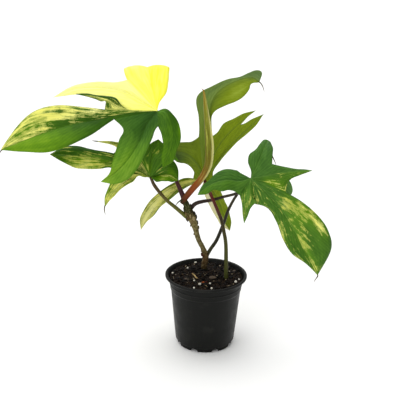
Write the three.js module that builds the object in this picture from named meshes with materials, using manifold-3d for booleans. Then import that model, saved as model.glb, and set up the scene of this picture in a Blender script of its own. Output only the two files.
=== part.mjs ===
// A potted philodendron with deeply lobed, variegated leaves, in the black nursery pot that holds it.
// Millimetres, +Z up. The origin is the middle of the pot's base, and -Y is the side the plant shows its face to.

import * as THREE from "three";
import { mergeVertices } from "three/addons/utils/BufferGeometryUtils.js";
import Module from "manifold-3d";

const wasm = await Module();
wasm.setup();

// Clearances and blade sizes
const touchGap = 0.3;
const bladeThickness = 0.8;
const bladeArch = 0.1;
const lobeRows = 12;
const lobeColumns = 2;

// Pot
const potHeight = 95;
const rimRadius = 52.5;
const rimInnerRadius = 48;
const collarRadius = 46.8;
const collarFootRadius = 45.6;
const collarHeight = 19;
const shoulderRadius = 44.8;
const footTopRadius = 38.2;
const footRadius = 35.5;
const footHeight = 6;
const potWall = 1.5;
const potFloor = 2;
const potSides = 56;
const drainCount = 8;
const drainWidth = 9;
const drainHeight = 4;

// Soil
const soilEdgeHeight = 91;
const soilMound = 2;
const soilRings = 5;

// A colour and finish for each kind of surface
const finishes = {
  pot: { color: 0x232423, roughness: 0.5 },
  soil: { color: 0x2a1d15, roughness: 1 },
  stem: { color: 0x6d6f45, roughness: 0.7 },
  root: { color: 0x3a3a22, roughness: 0.8 },
  petiole: { color: 0x4a3526, roughness: 0.5 },
  greenPetiole: { color: 0x6c7a3c, roughness: 0.5 },
  sheath: { color: 0x9a6a38, roughness: 0.5 },
  leaf: { color: 0x3f7d2c, roughness: 0.45 },
  perlite: { color: 0xe8e4da, roughness: 0.9 },
  bark: { color: 0x8a5a3a, roughness: 0.95 },
};

// Woody and fleshy axes: points of the centre line from the root end up, and the radius at the same points
const stemLine = {
  points: [[-2, 23, 62], [-3, 22, 92], [-1, 20, 110.5], [-5, 17, 123.5], [-11, 14, 137], [-15, 10, 153.5],
    [-20, 6, 169], [-24, 4, 179], [-27, 2, 188], [-31, 0, 196]],
  radii: [3.6, 3.9, 3.9, 3.4, 3.1, 3.3, 4.6, 4.4, 3.3, 2.9],
};
const axes = {
  petiole_a: {
    points: [[-29, 1, 190], [-31, 2, 198], [-35, 4, 207], [-40, 7, 218], [-48, 6, 245], [-57, -1, 282],
      [-62, -8, 303], [-63, -12, 310]],
    radii: [2.7, 2.6, 2.5, 2.3, 2, 1.9, 1.9, 0.5],
  },
  petiole_c: {
    points: [[-24, 4, 178], [-16, 6, 187], [-6, 8, 190], [5, 8, 192], [19, -2, 200], [36, -20, 212],
      [46, -34, 228], [50, -40, 237]],
    radii: [2.6, 2.5, 2.3, 2, 1.8, 1.7, 1.7, 0.5],
  },
  petiole_d: {
    points: [[-20, 5, 166], [-27, 4, 171], [-33, 2, 177], [-41, -1, 185], [-50, -5, 194], [-58, -8, 204],
      [-66, -11, 216], [-71, -14, 228]],
    radii: [2.6, 2.6, 2.3, 2, 1.9, 1.8, 1.8, 0.5],
  },
  petiole_e: {
    points: [[-2, 21, 106.5], [5, 23, 119], [13, 22, 133], [21, 18, 157.5], [27, 13, 179], [36, 6, 200],
      [48, 1, 218], [58, -2, 228]],
    radii: [2.4, 2, 1.8, 1.7, 1.6, 1.5, 1.5, 0.5],
  },
};
const petioleB = {
  points: [[25, -7, 60], [25.5, -7, 92], [25, -4, 115], [24, -2, 138], [21, -1, 154], [18, 0, 167.5], [13, 0, 180],
    [6, 1, 196], [0, 9, 207], [-5, 22, 214]],
  radii: [2.6, 2.7, 2.6, 2.4, 2.3, 2.2, 2.1, 2, 2, 0.5],
};
const sheathLine = {
  points: [[-32, 1, 190], [-28, -1, 198], [-19, -4, 211], [-8, -6, 226], [-1, -6, 243], [0, -6, 265],
    [-2, -6, 286], [-5, -6, 309], [-8, -6, 332]],
  radii: [2.6, 3, 3.2, 3.6, 4.4, 5, 4.2, 2.8, 0.4],
};
const aerialRoots = {
  aerial_root_left: {
    points: [[-29, 1, 191], [-33, -4, 195], [-37, -6, 193], [-40, -7, 189]],
    radii: [0.9, 0.8, 0.7, 0.3],
  },
  aerial_root_right: {
    points: [[-27, 2, 189], [-24, -3, 190], [-21, -4, 186]],
    radii: [0.9, 0.8, 0.3],
  },
};
const bud = { centre: [-5, 20, 113.5], radius: 2.6 };

// Leaves. A lobe has a vein that leaves the junction, the way its upper side faces at its base and at its tip,
// and its half widths left and right of the vein at even steps between the two. Its right margin meets the
// next lobe's left one at the sinus, which lies at row reach of the lobe's rows.
const leaves = {
  leaf_a: {
    junction: [-63, -12, 310],
    lobes: [
      { vein: [[-52, -17, 310], [-45, -22, 297], [-43, -26, 281], [-47, -28, 263], [-55, -28, 244]],
        face: [[0.15, -0.6, 0.77], [0.3, -0.93, 0.2]],
        left: [4, 5, 8, 9, 9, 7, 8], right: [20, 22, 20, 17, 14, 10, 8],
        sinus: [-61, -22, 294], reach: 3 },
      { vein: [[-75, -22, 296], [-83, -32, 278], [-95, -40, 259], [-110, -45, 243], [-128, -47, 231]],
        face: [[-0.1, -0.85, 0.5], [-0.1, -0.93, 0.35]],
        left: [17, 4, 7, 11, 15, 16, 11], right: [60, 46, 13, 15, 15, 11, 3],
        sinus: [-113, -29, 303], reach: 4 },
      { vein: [[-97, -22, 309], [-131, -34, 304], [-167, -46, 298], [-204, -56, 287], [-241, -62, 272]],
        face: [[-0.1, -0.75, 0.66], [-0.2, -0.78, 0.6]],
        left: [2, 8, 15, 23, 27, 26, 14], right: [9, 15, 20, 26, 33, 33, 20],
        sinus: [-124, -27, 314], reach: 5 },
      { vein: [[-86, -15, 310], [-106, -17, 315], [-122, -18, 324], [-140, -19, 329], [-159, -19, 330]],
        face: [[-0.1, -0.75, 0.66], [-0.1, -0.7, 0.7]],
        left: [22, 19, 13, 1, 5, 4, 2], right: [4, 3, 6, 9, 5, 2, 2],
        sinus: [-95, -15, 309], reach: 3 },
      { vein: [[-79, -3, 317], [-99, 6, 326], [-129, 12, 331], [-160, 15, 329], [-191, 14, 318]],
        face: [[-0.1, -0.62, 0.78], [-0.1, -0.6, 0.8]],
        left: [20, 22, 21, 17, 15, 10, 6], right: [21, 17, 12, 6, 7, 7, 6],
        sinus: [-101, 16, 341], reach: 5 },
      { vein: [[-67, -2, 323], [-72, 10, 339], [-76, 26, 352], [-79, 48, 350], [-82, 68, 336]],
        face: [[0, -0.7, 0.7], [0, -0.1, 1]],
        left: [26, 28, 30, 32, 33, 31, 21], right: [5, 16, 21, 24, 26, 23, 13] },
    ],
  },
  leaf_b: {
    junction: [-5, 22, 214],
    lobes: [
      { vein: [[6, 26, 199], [15, 30, 181], [22, 32, 161], [30, 32, 142]],
        face: [[0.1, 0.95, 0.2], [0.1, 0.95, 0.2]],
        left: [10, 11, 12, 12, 12, 10, 8], right: [7, 10, 9, 8, 9, 8, 6],
        sinus: [7, 25, 209], reach: 2 },
      { vein: [[7, 26, 231], [24, 33, 253], [45, 40, 274], [68, 46, 295]],
        face: [[0.1, 0.9, 0.4], [0.1, 0.9, 0.4]],
        left: [11, 1, 1, 2, 3, 5, 5], right: [12, 12, 11, 9, 7, 3, 5],
        sinus: [39, 37, 283], reach: 9 },
      { vein: [[3, 25, 239], [16, 31, 263], [36, 38, 283], [58, 44, 300]],
        face: [[0.1, 0.9, 0.4], [0.1, 0.9, 0.4]],
        left: [2, 4, 7, 9, 9, 6, 1], right: [17, 17, 16, 12, 14, 10, 7],
        sinus: [4, 26, 270], reach: 5 },
      { vein: [[-4, 24, 253], [-2, 26, 280], [0, 28, 308], [11, 32, 327], [33, 37, 339], [51, 41, 342], [61, 43, 336]],
        face: [[0, 0.97, 0.22], [0.05, 0.99, 0.1]],
        left: [3, 10, 15, 17, 8, 1, 11, 19, 19, 18, 12], right: [11, 8, 5, 2, 7, 19, 12, 8, 4, 7, 12],
        sinus: [-13, 26, 269], reach: 4 },
      { vein: [[-13, 23, 233], [-25, 24, 246], [-39, 25, 250], [-53, 25, 249]],
        face: [[-0.1, 0.95, 0.3], [-0.1, 0.95, 0.3]],
        left: [21, 15, 10, 8, 10, 11, 7], right: [15, 10, 10, 13, 16, 16, 12],
        sinus: [-19, 24, 215], reach: 2 },
      { vein: [[-20, 25, 209], [-42, 27, 199], [-62, 26, 181], [-76, 22, 163], [-85, 18, 146]],
        face: [[-0.1, 0.9, 0.4], [-0.2, 0.9, 0.3]],
        left: [14, 18, 14, 13, 13, 11, 8], right: [3, 4, 7, 8, 6, 6, 2] },
    ],
  },
  leaf_c: {
    junction: [50, -40, 237],
    lobes: [
      { vein: [[56, -36, 248], [62, -29, 261], [67, -19, 271], [72, -6, 274], [79, 6, 261]],
        face: [[0, -0.8, 0.6], [0.1, -0.3, 0.95]],
        left: [4, 12, 14, 9, 7, 5, 2], right: [13, 10, 8, 8, 8, 4, 2],
        sinus: [75, -38, 255], reach: 5 },
      { vein: [[67, -42, 241], [85, -44, 246], [104, -46, 249], [122, -48, 251]],
        face: [[0.05, -0.75, 0.66], [0.05, -0.75, 0.66]],
        left: [15, 13, 10, 7, 5, 3, 2], right: [21, 16, 11, 6, 5, 5, 3],
        sinus: [92, -47, 223], reach: 5 },
      { vein: [[68, -49, 223], [87, -58, 204], [103, -65, 181], [119, -69, 155], [133, -71, 127]],
        face: [[0.1, -0.8, 0.6], [0.2, -0.9, 0.4]],
        left: [17, 19, 22, 32, 37, 37, 29], right: [30, 20, 2, 7, 15, 16, 7],
        sinus: [56, -52, 209], reach: 4 },
      { vein: [[48, -47, 225], [46, -54, 211], [43, -62, 188]],
        face: [[0, -0.8, 0.6], [-0.1, -0.9, 0.4]],
        left: [9, 10, 12, 13, 9, 5, 3], right: [10, 10, 10, 9, 7, 4, 5],
        sinus: [38, -46, 217], reach: 4 },
      { vein: [[37, -43, 234], [20, -46, 236], [3, -48, 231], [-13, -49, 218]],
        face: [[-0.1, -0.75, 0.66], [-0.2, -0.8, 0.55]],
        left: [14, 11, 6, 8, 11, 7, 7], right: [8, 13, 14, 14, 11, 6, 5] },
    ],
  },
  leaf_d: {
    junction: [-71, -14, 228],
    lobes: [
      { vein: [[-86, -18, 231], [-101, -22, 223], [-116, -25, 208], [-126, -26, 192]],
        face: [[-0.1, -0.8, 0.6], [-0.2, -0.85, 0.5]],
        left: [2, 1, 5, 4, 3, 3, 1], right: [18, 18, 16, 14, 12, 9, 6],
        sinus: [-111, -19, 235], reach: 4 },
      { vein: [[-94, -16, 242], [-119, -20, 250], [-143, -24, 254], [-166, -28, 258], [-190, -31, 259]],
        face: [[-0.1, -0.75, 0.66], [-0.2, -0.7, 0.7]],
        left: [14, 9, 1, 9, 14, 16, 10], right: [12, 10, 7, 9, 11, 13, 10],
        sinus: [-115, -17, 258], reach: 5 },
      { vein: [[-87, -13, 246], [-102, -13, 260], [-117, -13, 268], [-137, -12, 271]],
        face: [[-0.1, -0.75, 0.66], [-0.1, -0.7, 0.7]],
        left: [14, 18, 20, 8, 4, 2, 1], right: [7, 8, 9, 11, 7, 4, 2],
        sinus: [-91, -10, 260], reach: 5 },
      { vein: [[-72, -9, 242], [-69, -6, 257], [-62, -4, 273]],
        face: [[-0.1, -0.8, 0.6], [0, -0.7, 0.7]],
        left: [27, 20, 12, 2, 1, 4, 3], right: [18, 22, 27, 32, 36, 37, 27],
        sinus: [-50, -5, 251], reach: 6 },
      { vein: [[-61, -9, 229], [-49, -5, 229], [-37, -3, 221]],
        face: [[0.1, -0.75, 0.65], [0.2, -0.7, 0.7]],
        left: [26, 27, 27, 25, 19, 10, 14], right: [8, 9, 9, 10, 10, 9, 7] },
    ],
  },
  leaf_e: {
    junction: [58, -2, 228],
    lobes: [
      { vein: [[70, 0, 228], [84, -1, 223], [94, -4, 213], [98, -8, 200]],
        face: [[0, -0.75, 0.66], [0.1, -0.8, 0.6]],
        left: [4, 7, 8, 8, 8, 7, 4], right: [8, 10, 10, 9, 8, 6, 3],
        sinus: [74, -7, 214], reach: 5 },
      { vein: [[70, -8, 216], [84, -16, 200], [97, -24, 183], [107, -30, 166]],
        face: [[0.1, -0.8, 0.6], [0.2, -0.85, 0.5]],
        left: [10, 12, 14, 16, 16, 13, 7], right: [10, 11, 12, 13, 13, 10, 6],
        sinus: [64, -6, 210], reach: 4 },
      { vein: [[55, -4, 219], [52, -8, 208], [50, -13, 196]],
        face: [[-0.1, -0.8, 0.6], [-0.1, -0.85, 0.5]],
        left: [8, 10, 10, 9, 8, 6, 3], right: [4, 6, 7, 7, 6, 5, 3] },
    ],
  },
};

// Grains that lie on the soil: place in plan and size
const perliteGrains = [[-14, 40, 4], [-24, 20, 3.2], [-43, 5, 3.2], [-15, -20, 3.2], [-8, -31, 4.6], [-15, -40, 3.6],
  [5, -28, 3.4], [7, -41, 3.8], [37.5, -20, 4.8], [42, -11, 3]];
const barkChips = [[8, -11, 11, 10], [-25, -15, 8, 110], [37, 17, 6, 60], [28, 29, 6, 150]];
const twigLine = { points: [[-17.5, 1], [-15, -4], [-13, -10], [-10.5, -14]], radius: 0.8 };

const vector = (coordinates) => new THREE.Vector3(...coordinates);

// A value that runs smoothly through a list of evenly spaced ones
function valueAlong(values, fraction) {
  const curve = new THREE.CatmullRomCurve3(values.map((value) => new THREE.Vector3(value, 0, 0)), false, "catmullrom");
  return curve.getPoint(fraction).x;
}

function makeGeometry(points, triangles) {
  const geometry = new THREE.BufferGeometry();
  geometry.setAttribute("position", new THREE.Float32BufferAttribute(points.flatMap((p) => [p.x, p.y, p.z]), 3));
  geometry.setIndex(triangles.flat());
  return geometry;
}

function toSolid(geometry) {
  const bare = geometry.clone();
  bare.deleteAttribute("normal");
  bare.deleteAttribute("uv");
  const merged = mergeVertices(bare, 1e-4);
  return new wasm.Manifold(new wasm.Mesh({
    numProp: 3,
    vertProperties: new Float32Array(merged.attributes.position.array),
    triVerts: new Uint32Array(merged.index.array),
  }));
}

function fromSolid(solid) {
  const mesh = solid.getMesh();
  const geometry = new THREE.BufferGeometry();
  geometry.setAttribute("position", new THREE.Float32BufferAttribute(Array.from(mesh.vertProperties), 3));
  geometry.setIndex(Array.from(mesh.triVerts));
  return geometry;
}

// The largest of the bodies that a cut leaves
function mainBody(solid) {
  return solid.decompose().reduce((kept, body) => (body.volume() > kept.volume() ? body : kept));
}

// A closed round rod along a smooth line, its radius running through the given ones, grown by extra all over
function rod({ points, radii }, steps, sides, extra = 0) {
  const curve = new THREE.CatmullRomCurve3(points.map(vector), false, "catmullrom");
  const frames = curve.computeFrenetFrames(steps, false);
  const vertices = [];
  const triangles = [];
  for (let step = 0; step <= steps; step++) {
    const centre = curve.getPointAt(step / steps);
    const radius = valueAlong(radii, curve.getUtoTmapping(step / steps)) + extra;
    for (let side = 0; side < sides; side++) {
      const angle = (2 * Math.PI * side) / sides;
      vertices.push(centre.clone()
        .addScaledVector(frames.normals[step], radius * Math.cos(angle))
        .addScaledVector(frames.binormals[step], radius * Math.sin(angle)));
    }
  }
  for (let step = 0; step < steps; step++) {
    for (let side = 0; side < sides; side++) {
      const next = (side + 1) % sides;
      const low = step * sides;
      const high = low + sides;
      triangles.push([low + side, low + next, high + next], [low + side, high + next, high + side]);
    }
  }
  const first = vertices.push(curve.getPointAt(0)) - 1;
  const last = vertices.push(curve.getPointAt(1)) - 1;
  for (let side = 0; side < sides; side++) {
    const next = (side + 1) % sides;
    triangles.push([first, next, side]);
    triangles.push([last, steps * sides + side, steps * sides + next]);
  }
  return makeGeometry(vertices, triangles);
}

// One half of a lobe's margin: the vein plus the half width sideways, drawn on to the sinus where there is one
function marginPoint(lobe, side, row, sinus, reach, junction) {
  const fraction = row / lobeRows;
  if (sinus && row <= reach) {
    return junction.clone().lerp(sinus, row / reach);
  }
  const edge = lobe.edge(side, fraction);
  if (sinus) {
    const start = reach / lobeRows;
    const fade = (1 - (fraction - start) / (1 - start)) ** 3;
    edge.addScaledVector(sinus.clone().sub(lobe.edge(side, start)), fade);
  }
  return edge;
}

// The vein curve of a lobe, and how to step sideways from it within the blade
function lobeShape(junction, { vein, face, left, right }) {
  const curve = new THREE.CatmullRomCurve3([junction, ...vein].map(vector), false, "catmullrom");
  const [baseFace, tipFace] = face.map(vector);
  const widths = { left: [0, ...left, 0], right: [0, ...right, 0] };
  const across = (fraction) => {
    const step = 0.001;
    const ahead = curve.getPoint(Math.min(fraction + step, 1)).sub(curve.getPoint(Math.max(fraction - step, 0)));
    const along = ahead.normalize();
    const normal = baseFace.clone().lerp(tipFace, fraction);
    normal.addScaledVector(along, -normal.dot(along)).normalize();
    return { normal, sideways: normal.clone().cross(along) };
  };
  return {
    vein: (fraction) => curve.getPoint(fraction),
    normal: (fraction) => across(fraction).normal,
    edge: (side, fraction) => {
      const reachOut = Math.max(valueAlong(widths[side], fraction), 0) * (side === "left" ? 1 : -1);
      return curve.getPoint(fraction).addScaledVector(across(fraction).sideways, reachOut);
    },
  };
}

// The middle surface of a whole blade: for each half lobe a grid from vein to margin, all grown together
// at the junction and along the line from the junction to each sinus
function bladeSurface({ junction, lobes }) {
  const points = [vector(junction)];
  const triangles = [];
  const addPoint = (point) => points.push(point) - 1;
  const shapes = lobes.map((lobe) => lobeShape(junction, lobe));
  const veins = shapes.map((shape) => {
    const rows = [0];
    for (let row = 1; row <= lobeRows; row++) rows.push(addPoint(shape.vein(row / lobeRows)));
    return rows;
  });
  const margin = (number, side) => {
    const gap = side === "right" ? lobes[number] : lobes[number - 1];
    const sinus = gap?.sinus && vector(gap.sinus);
    return { sinus, reach: sinus ? gap.reach : 0 };
  };
  let sharedLine = [];
  const halfLobe = (number, side) => {
    const { sinus, reach } = margin(number, side);
    const border = [0];
    for (let row = 1; row < lobeRows; row++) {
      const shared = side === "left" && row <= reach;
      const point = shared ? null : marginPoint(shapes[number], side, row, sinus, reach, points[0]);
      border.push(shared ? sharedLine[row] : addPoint(point));
    }
    border.push(veins[number][lobeRows]);
    if (side === "right") sharedLine = border;
    const columns = [veins[number]];
    for (let column = 1; column < lobeColumns; column++) {
      const share = column / lobeColumns;
      const line = [0];
      for (let row = 1; row < lobeRows; row++) {
        const inner = points[veins[number][row]];
        const outer = points[border[row]];
        const lift = bladeArch * inner.distanceTo(outer) * 4 * share * (1 - share);
        line.push(addPoint(inner.clone().lerp(outer, share)
          .addScaledVector(shapes[number].normal(row / lobeRows), lift)));
      }
      line.push(veins[number][lobeRows]);
      columns.push(line);
    }
    columns.push(border);
    const turn = (a, b, c) => (side === "left" ? [a, b, c] : [a, c, b]);
    for (let column = 0; column < lobeColumns; column++) {
      const inner = columns[column];
      const outer = columns[column + 1];
      for (let row = 0; row < lobeRows; row++) {
        if (row > 0) triangles.push(turn(inner[row], outer[row + 1], outer[row]));
        if (row < lobeRows - 1) triangles.push(turn(inner[row], inner[row + 1], outer[row + 1]));
      }
    }
  };
  lobes.forEach((lobe, number) => {
    halfLobe(number, "left");
    halfLobe(number, "right");
  });
  return { points, triangles };
}

// A closed sheet of even thickness: the surface moved out both ways along its normals, with a rim between
function thicken({ points, triangles }, thickness) {
  const normals = points.map(() => new THREE.Vector3());
  const openEdges = new Map();
  for (const [a, b, c] of triangles) {
    const normal = points[b].clone().sub(points[a]).cross(points[c].clone().sub(points[a]));
    for (const corner of [a, b, c]) normals[corner].add(normal);
    for (const [from, to] of [[a, b], [b, c], [c, a]]) {
      if (!openEdges.delete(`${to} ${from}`)) openEdges.set(`${from} ${to}`, [from, to]);
    }
  }
  normals.forEach((normal) => normal.normalize());
  const count = points.length;
  const shifted = (way) => points.map((point, number) => point.clone().addScaledVector(normals[number], way));
  const vertices = [...shifted(thickness / 2), ...shifted(-thickness / 2)];
  const faces = [...triangles, ...triangles.map(([a, b, c]) => [a + count, c + count, b + count])];
  for (const [from, to] of openEdges.values()) {
    faces.push([to, from, from + count], [to, from + count, to + count]);
  }
  return makeGeometry(vertices, faces);
}

function potGeometry() {
  const rimDrop = 4;
  const profile = [
    [0, 0], [footRadius - 1.5, 0], [footRadius, 1.5], [footRadius, footHeight - 1],
    [footTopRadius, footHeight], [shoulderRadius, potHeight - collarHeight - 1],
    [collarFootRadius, potHeight - collarHeight], [collarRadius, potHeight - rimDrop - 1],
    [rimRadius - 0.6, potHeight - rimDrop], [rimRadius, potHeight - rimDrop + 1],
    [rimRadius, potHeight - 1.2], [rimRadius - 1, potHeight], [rimInnerRadius + 0.8, potHeight],
    [rimInnerRadius, potHeight - 1], [collarRadius - potWall, potHeight - rimDrop - 3],
    [shoulderRadius - potWall, potHeight - collarHeight - 2], [footTopRadius - potWall, footHeight + 1],
    [footRadius - potWall, footHeight - 1], [footRadius - potWall, potFloor], [0, potFloor],
  ].map(([x, y]) => new THREE.Vector2(x, y));
  const shell = new THREE.LatheGeometry(profile, potSides).rotateX(Math.PI / 2);
  let pot = toSolid(shell);
  for (let number = 0; number < drainCount; number++) {
    const slot = new THREE.BoxGeometry(2 * potWall + 6, drainWidth, drainHeight + 2);
    slot.translate(footRadius - 1, 0, drainHeight / 2 - 1);
    slot.rotateZ((2 * Math.PI * (number + 0.5)) / drainCount);
    pot = pot.subtract(toSolid(slot));
  }
  return fromSolid(pot);
}

const soilRadius = (height) => {
  const inner = [[potFloor, footRadius], [footHeight - 1, footRadius], [footHeight + 1, footTopRadius],
    [potHeight - collarHeight - 2, shoulderRadius], [potHeight, collarRadius + 0.4]];
  const above = Math.max(inner.findIndex(([level]) => level >= height), 1);
  const [lowLevel, lowRadius] = inner[above - 1];
  const [highLevel, highRadius] = inner[above];
  const share = (height - lowLevel) / (highLevel - lowLevel);
  return lowRadius + (highRadius - lowRadius) * share - potWall - touchGap;
};

const soilHeight = (distance) => {
  const share = Math.min(distance / soilRadius(soilEdgeHeight), 1);
  return soilEdgeHeight + soilMound * Math.cos((share * Math.PI) / 2);
};

function soilGeometry(rooted) {
  const bottom = potFloor + touchGap;
  const profile = [[0, bottom]];
  for (const level of [bottom, footHeight - 1, footHeight + 1 + touchGap, potHeight - collarHeight - 2, soilEdgeHeight]) {
    profile.push([soilRadius(level), level]);
  }
  for (let ring = soilRings - 1; ring >= 0; ring--) {
    const distance = (soilRadius(soilEdgeHeight) * ring) / soilRings;
    profile.push([distance, soilHeight(distance)]);
  }
  const lathe = new THREE.LatheGeometry(profile.map(([x, y]) => new THREE.Vector2(x, y)), potSides);
  return fromSolid(rooted.reduce((soil, root) => soil.subtract(root), toSolid(lathe.rotateX(Math.PI / 2))));
}

// A grain or chip that lies on the soil: its lowest point is a hair above the mound
function restOnSoil(geometry, x, y) {
  geometry.computeBoundingBox();
  geometry.translate(x, y, soilHeight(Math.hypot(x, y)) + touchGap - geometry.boundingBox.min.z);
  return geometry;
}

const grain = (size, turn) =>
  new THREE.IcosahedronGeometry(size / 2, 0).scale(1, 0.85, 0.8).rotateX(turn).rotateZ(turn * 1.7);

function barkChip(length, turnDegrees) {
  const outline = new THREE.Shape([[-0.5, -0.2], [0.1, -0.3], [0.5, -0.1], [0.4, 0.25], [-0.3, 0.3]]
    .map(([x, y]) => new THREE.Vector2(x * length, y * length)));
  const chip = new THREE.ExtrudeGeometry(outline, { depth: length / 5, bevelEnabled: false, steps: 1 });
  return chip.rotateZ(THREE.MathUtils.degToRad(turnDegrees));
}

// Assembly
const plant = new THREE.Group();

function addPiece(name, finish, geometry) {
  const material = new THREE.MeshStandardMaterial({ metalness: 0, ...finishes[finish] });
  const mesh = new THREE.Mesh(geometry, material);
  mesh.name = name;
  plant.add(mesh);
}

addPiece("pot", "pot", potGeometry());
const stemSolid = toSolid(rod(stemLine, 22, 10));
const budSolid = toSolid(new THREE.IcosahedronGeometry(bud.radius, 1).translate(...bud.centre));
const grownStem = toSolid(rod(stemLine, 22, 10, touchGap)).add(
  toSolid(new THREE.IcosahedronGeometry(bud.radius + touchGap, 1).translate(...bud.centre)));
addPiece("main_stem", "stem", fromSolid(stemSolid.add(budSolid)));

const blades = {};
for (const [name, leaf] of Object.entries(leaves)) {
  const surface = bladeSurface(leaf);
  blades[name] = {
    geometry: thicken(surface, bladeThickness),
    clearance: toSolid(thicken(surface, bladeThickness + 2 * touchGap)),
  };
}

for (const [name, line] of Object.entries(axes)) {
  const leafName = name.replace("petiole", "leaf");
  const stalk = toSolid(rod(line, 16, 8)).subtract(grownStem).subtract(blades[leafName].clearance);
  addPiece(name, "petiole", fromSolid(mainBody(stalk)));
}
const stalkB = toSolid(rod(petioleB, 20, 8));
addPiece("petiole_b", "greenPetiole", fromSolid(mainBody(stalkB.subtract(blades.leaf_b.clearance))));

const petioleAClearance = toSolid(rod(axes.petiole_a, 16, 8, touchGap));
const sheath = toSolid(rod(sheathLine, 20, 10));
addPiece("new_leaf_sheath", "sheath", fromSolid(mainBody(sheath.subtract(grownStem).subtract(petioleAClearance))));

const shootClearance = [grownStem, petioleAClearance, toSolid(rod(sheathLine, 20, 10, touchGap)),
  toSolid(rod(axes.petiole_c, 16, 8, touchGap)), toSolid(rod(axes.petiole_d, 16, 8, touchGap))];
for (const [name, line] of Object.entries(aerialRoots)) {
  const root = shootClearance.reduce((rest, other) => rest.subtract(other), toSolid(rod(line, 6, 6)));
  addPiece(name, "root", fromSolid(mainBody(root)));
}

addPiece("soil", "soil", soilGeometry([grownStem, toSolid(rod(petioleB, 20, 8, touchGap))]));

for (const [name, blade] of Object.entries(blades)) {
  addPiece(name, "leaf", blade.geometry);
}

perliteGrains.forEach(([x, y, size], number) => {
  addPiece(`perlite_${number + 1}`, "perlite", restOnSoil(grain(size, number), x, y));
});
barkChips.forEach(([x, y, length, turn], number) => {
  addPiece(`bark_chip_${number + 1}`, "bark", restOnSoil(barkChip(length, turn), x, y));
});
const twigHeight = ([x, y]) => soilHeight(Math.hypot(x, y)) + twigLine.radius + touchGap;
const twigPoints = twigLine.points.map((place) => [...place, twigHeight(place)]);
addPiece("twig", "bark", rod({ points: twigPoints, radii: twigPoints.map(() => twigLine.radius) }, 4, 6));

export default plant;
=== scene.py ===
import itertools
import math

import bpy
import numpy as np
from bpy.props import FloatProperty, FloatVectorProperty, IntProperty, PointerProperty
from mathutils import Matrix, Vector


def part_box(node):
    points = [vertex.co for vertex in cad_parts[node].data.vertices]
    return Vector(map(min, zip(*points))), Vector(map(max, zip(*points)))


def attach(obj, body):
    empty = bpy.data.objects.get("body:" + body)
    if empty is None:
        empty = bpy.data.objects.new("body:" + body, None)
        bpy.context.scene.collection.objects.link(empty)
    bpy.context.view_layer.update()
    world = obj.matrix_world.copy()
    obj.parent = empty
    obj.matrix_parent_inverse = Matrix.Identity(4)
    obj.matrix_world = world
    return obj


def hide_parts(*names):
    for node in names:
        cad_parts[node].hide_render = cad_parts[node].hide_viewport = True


bl_info = {
    "name": "Potted philodendron",
    "version": (1, 0, 0),
    "blender": (4, 5, 0),
    "location": "3D View > Sidebar > Philodendron",
    "description": "Builds the finished surfaces of a potted variegated philodendron around its packed model",
    "category": "Add Mesh",
}

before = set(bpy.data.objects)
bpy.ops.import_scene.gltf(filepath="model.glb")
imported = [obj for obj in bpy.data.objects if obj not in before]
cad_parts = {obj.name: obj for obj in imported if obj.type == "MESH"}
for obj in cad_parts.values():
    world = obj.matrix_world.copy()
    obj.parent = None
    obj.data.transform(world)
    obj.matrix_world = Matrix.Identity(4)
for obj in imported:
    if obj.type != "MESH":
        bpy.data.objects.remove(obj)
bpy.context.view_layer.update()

MM = 0.001
TURN = 2 * math.pi
LATTICE = np.random.default_rng(7).random(4096)
# Millimetres in one unit of the blades' maps
MAP_UNIT = 10

# Pot and soil, in millimetres: radius and height of the corners, from the middle of the underside over the
# rim and down the inside. The soil goes from the middle of its underside up the pot's wall to its top edge.
POT_PROFILE = [
    (0, 0), (29.5, 0), (31, 0), (35.5, 0), (35.9, 5.2), (38.2, 6.4), (44.8, 74.6), (45.7, 76), (46.1, 81.6),
    (46.7, 82), (46.7, 83), (46.3, 83.4), (46.8, 89.6), (50.8, 91), (52.3, 92.2), (52.5, 93), (52.5, 94.3),
    (51.6, 95), (50.2, 95), (48.9, 94.2), (46.6, 89), (45.2, 87.6), (43.4, 74), (36.7, 7), (34, 5), (34, 2),
    (31, 2), (0, 2),
]
DRAIN_SLOTS = {"count": 8, "width": 9, "height": 4, "inner_radius": 31}
SOIL_PROFILE = [(0, 3), (33.2, 3), (36.2, 7.6), (42.9, 74), (44.9, 88), (46.4, 90.7)]
SOIL_EDGE_HEIGHT = 91
SOIL_MOUND = 2
# Bark chips on the soil: length and turn in degrees. The twig's points, radii and screen colours.
CHIPS = {"bark_chip_1": (11, 10), "bark_chip_2": (8, 110), "bark_chip_3": (6, 60), "bark_chip_4": (6, 150)}
TWIG = {"points": [(-17.6, 1.4, 93.4), (-16.4, -1, 93.8), (-14.6, -4.6, 93.8), (-13.2, -9.6, 93.8),
                   (-10.4, -14, 93.4)],
        "radii": [0.9, 0.7, 0.8, 0.8, 0.6], "tones": [(150, 120, 78), (196, 170, 116), (180, 150, 100)]}

# Small coloured bits on the soil: place seen from above, length, breadth and screen colour
SOIL_BITS = [
    (-3.2, -23.4, 3, 1.6, (196, 96, 36)), (-5, -25, 2.4, 1.4, (176, 84, 34)),
    (0.5, -23.2, 2.8, 1.6, (96, 24, 22)), (-39, -0.3, 1.8, 1.4, (170, 160, 140)),
    (-41.4, -12.6, 1.6, 1.3, (150, 140, 120)), (30.6, 12.8, 1.8, 1.5, (190, 180, 160)),
    (-0.1, -33, 6, 0.7, (176, 156, 120)),
]
# Screen colours of the loose crumbs, from the most common to the rarest
CRUMB_TONES = [(4, 3, 2), (9, 6, 4), (20, 14, 9), (40, 29, 19), (80, 62, 42), (196, 182, 150)]

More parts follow.
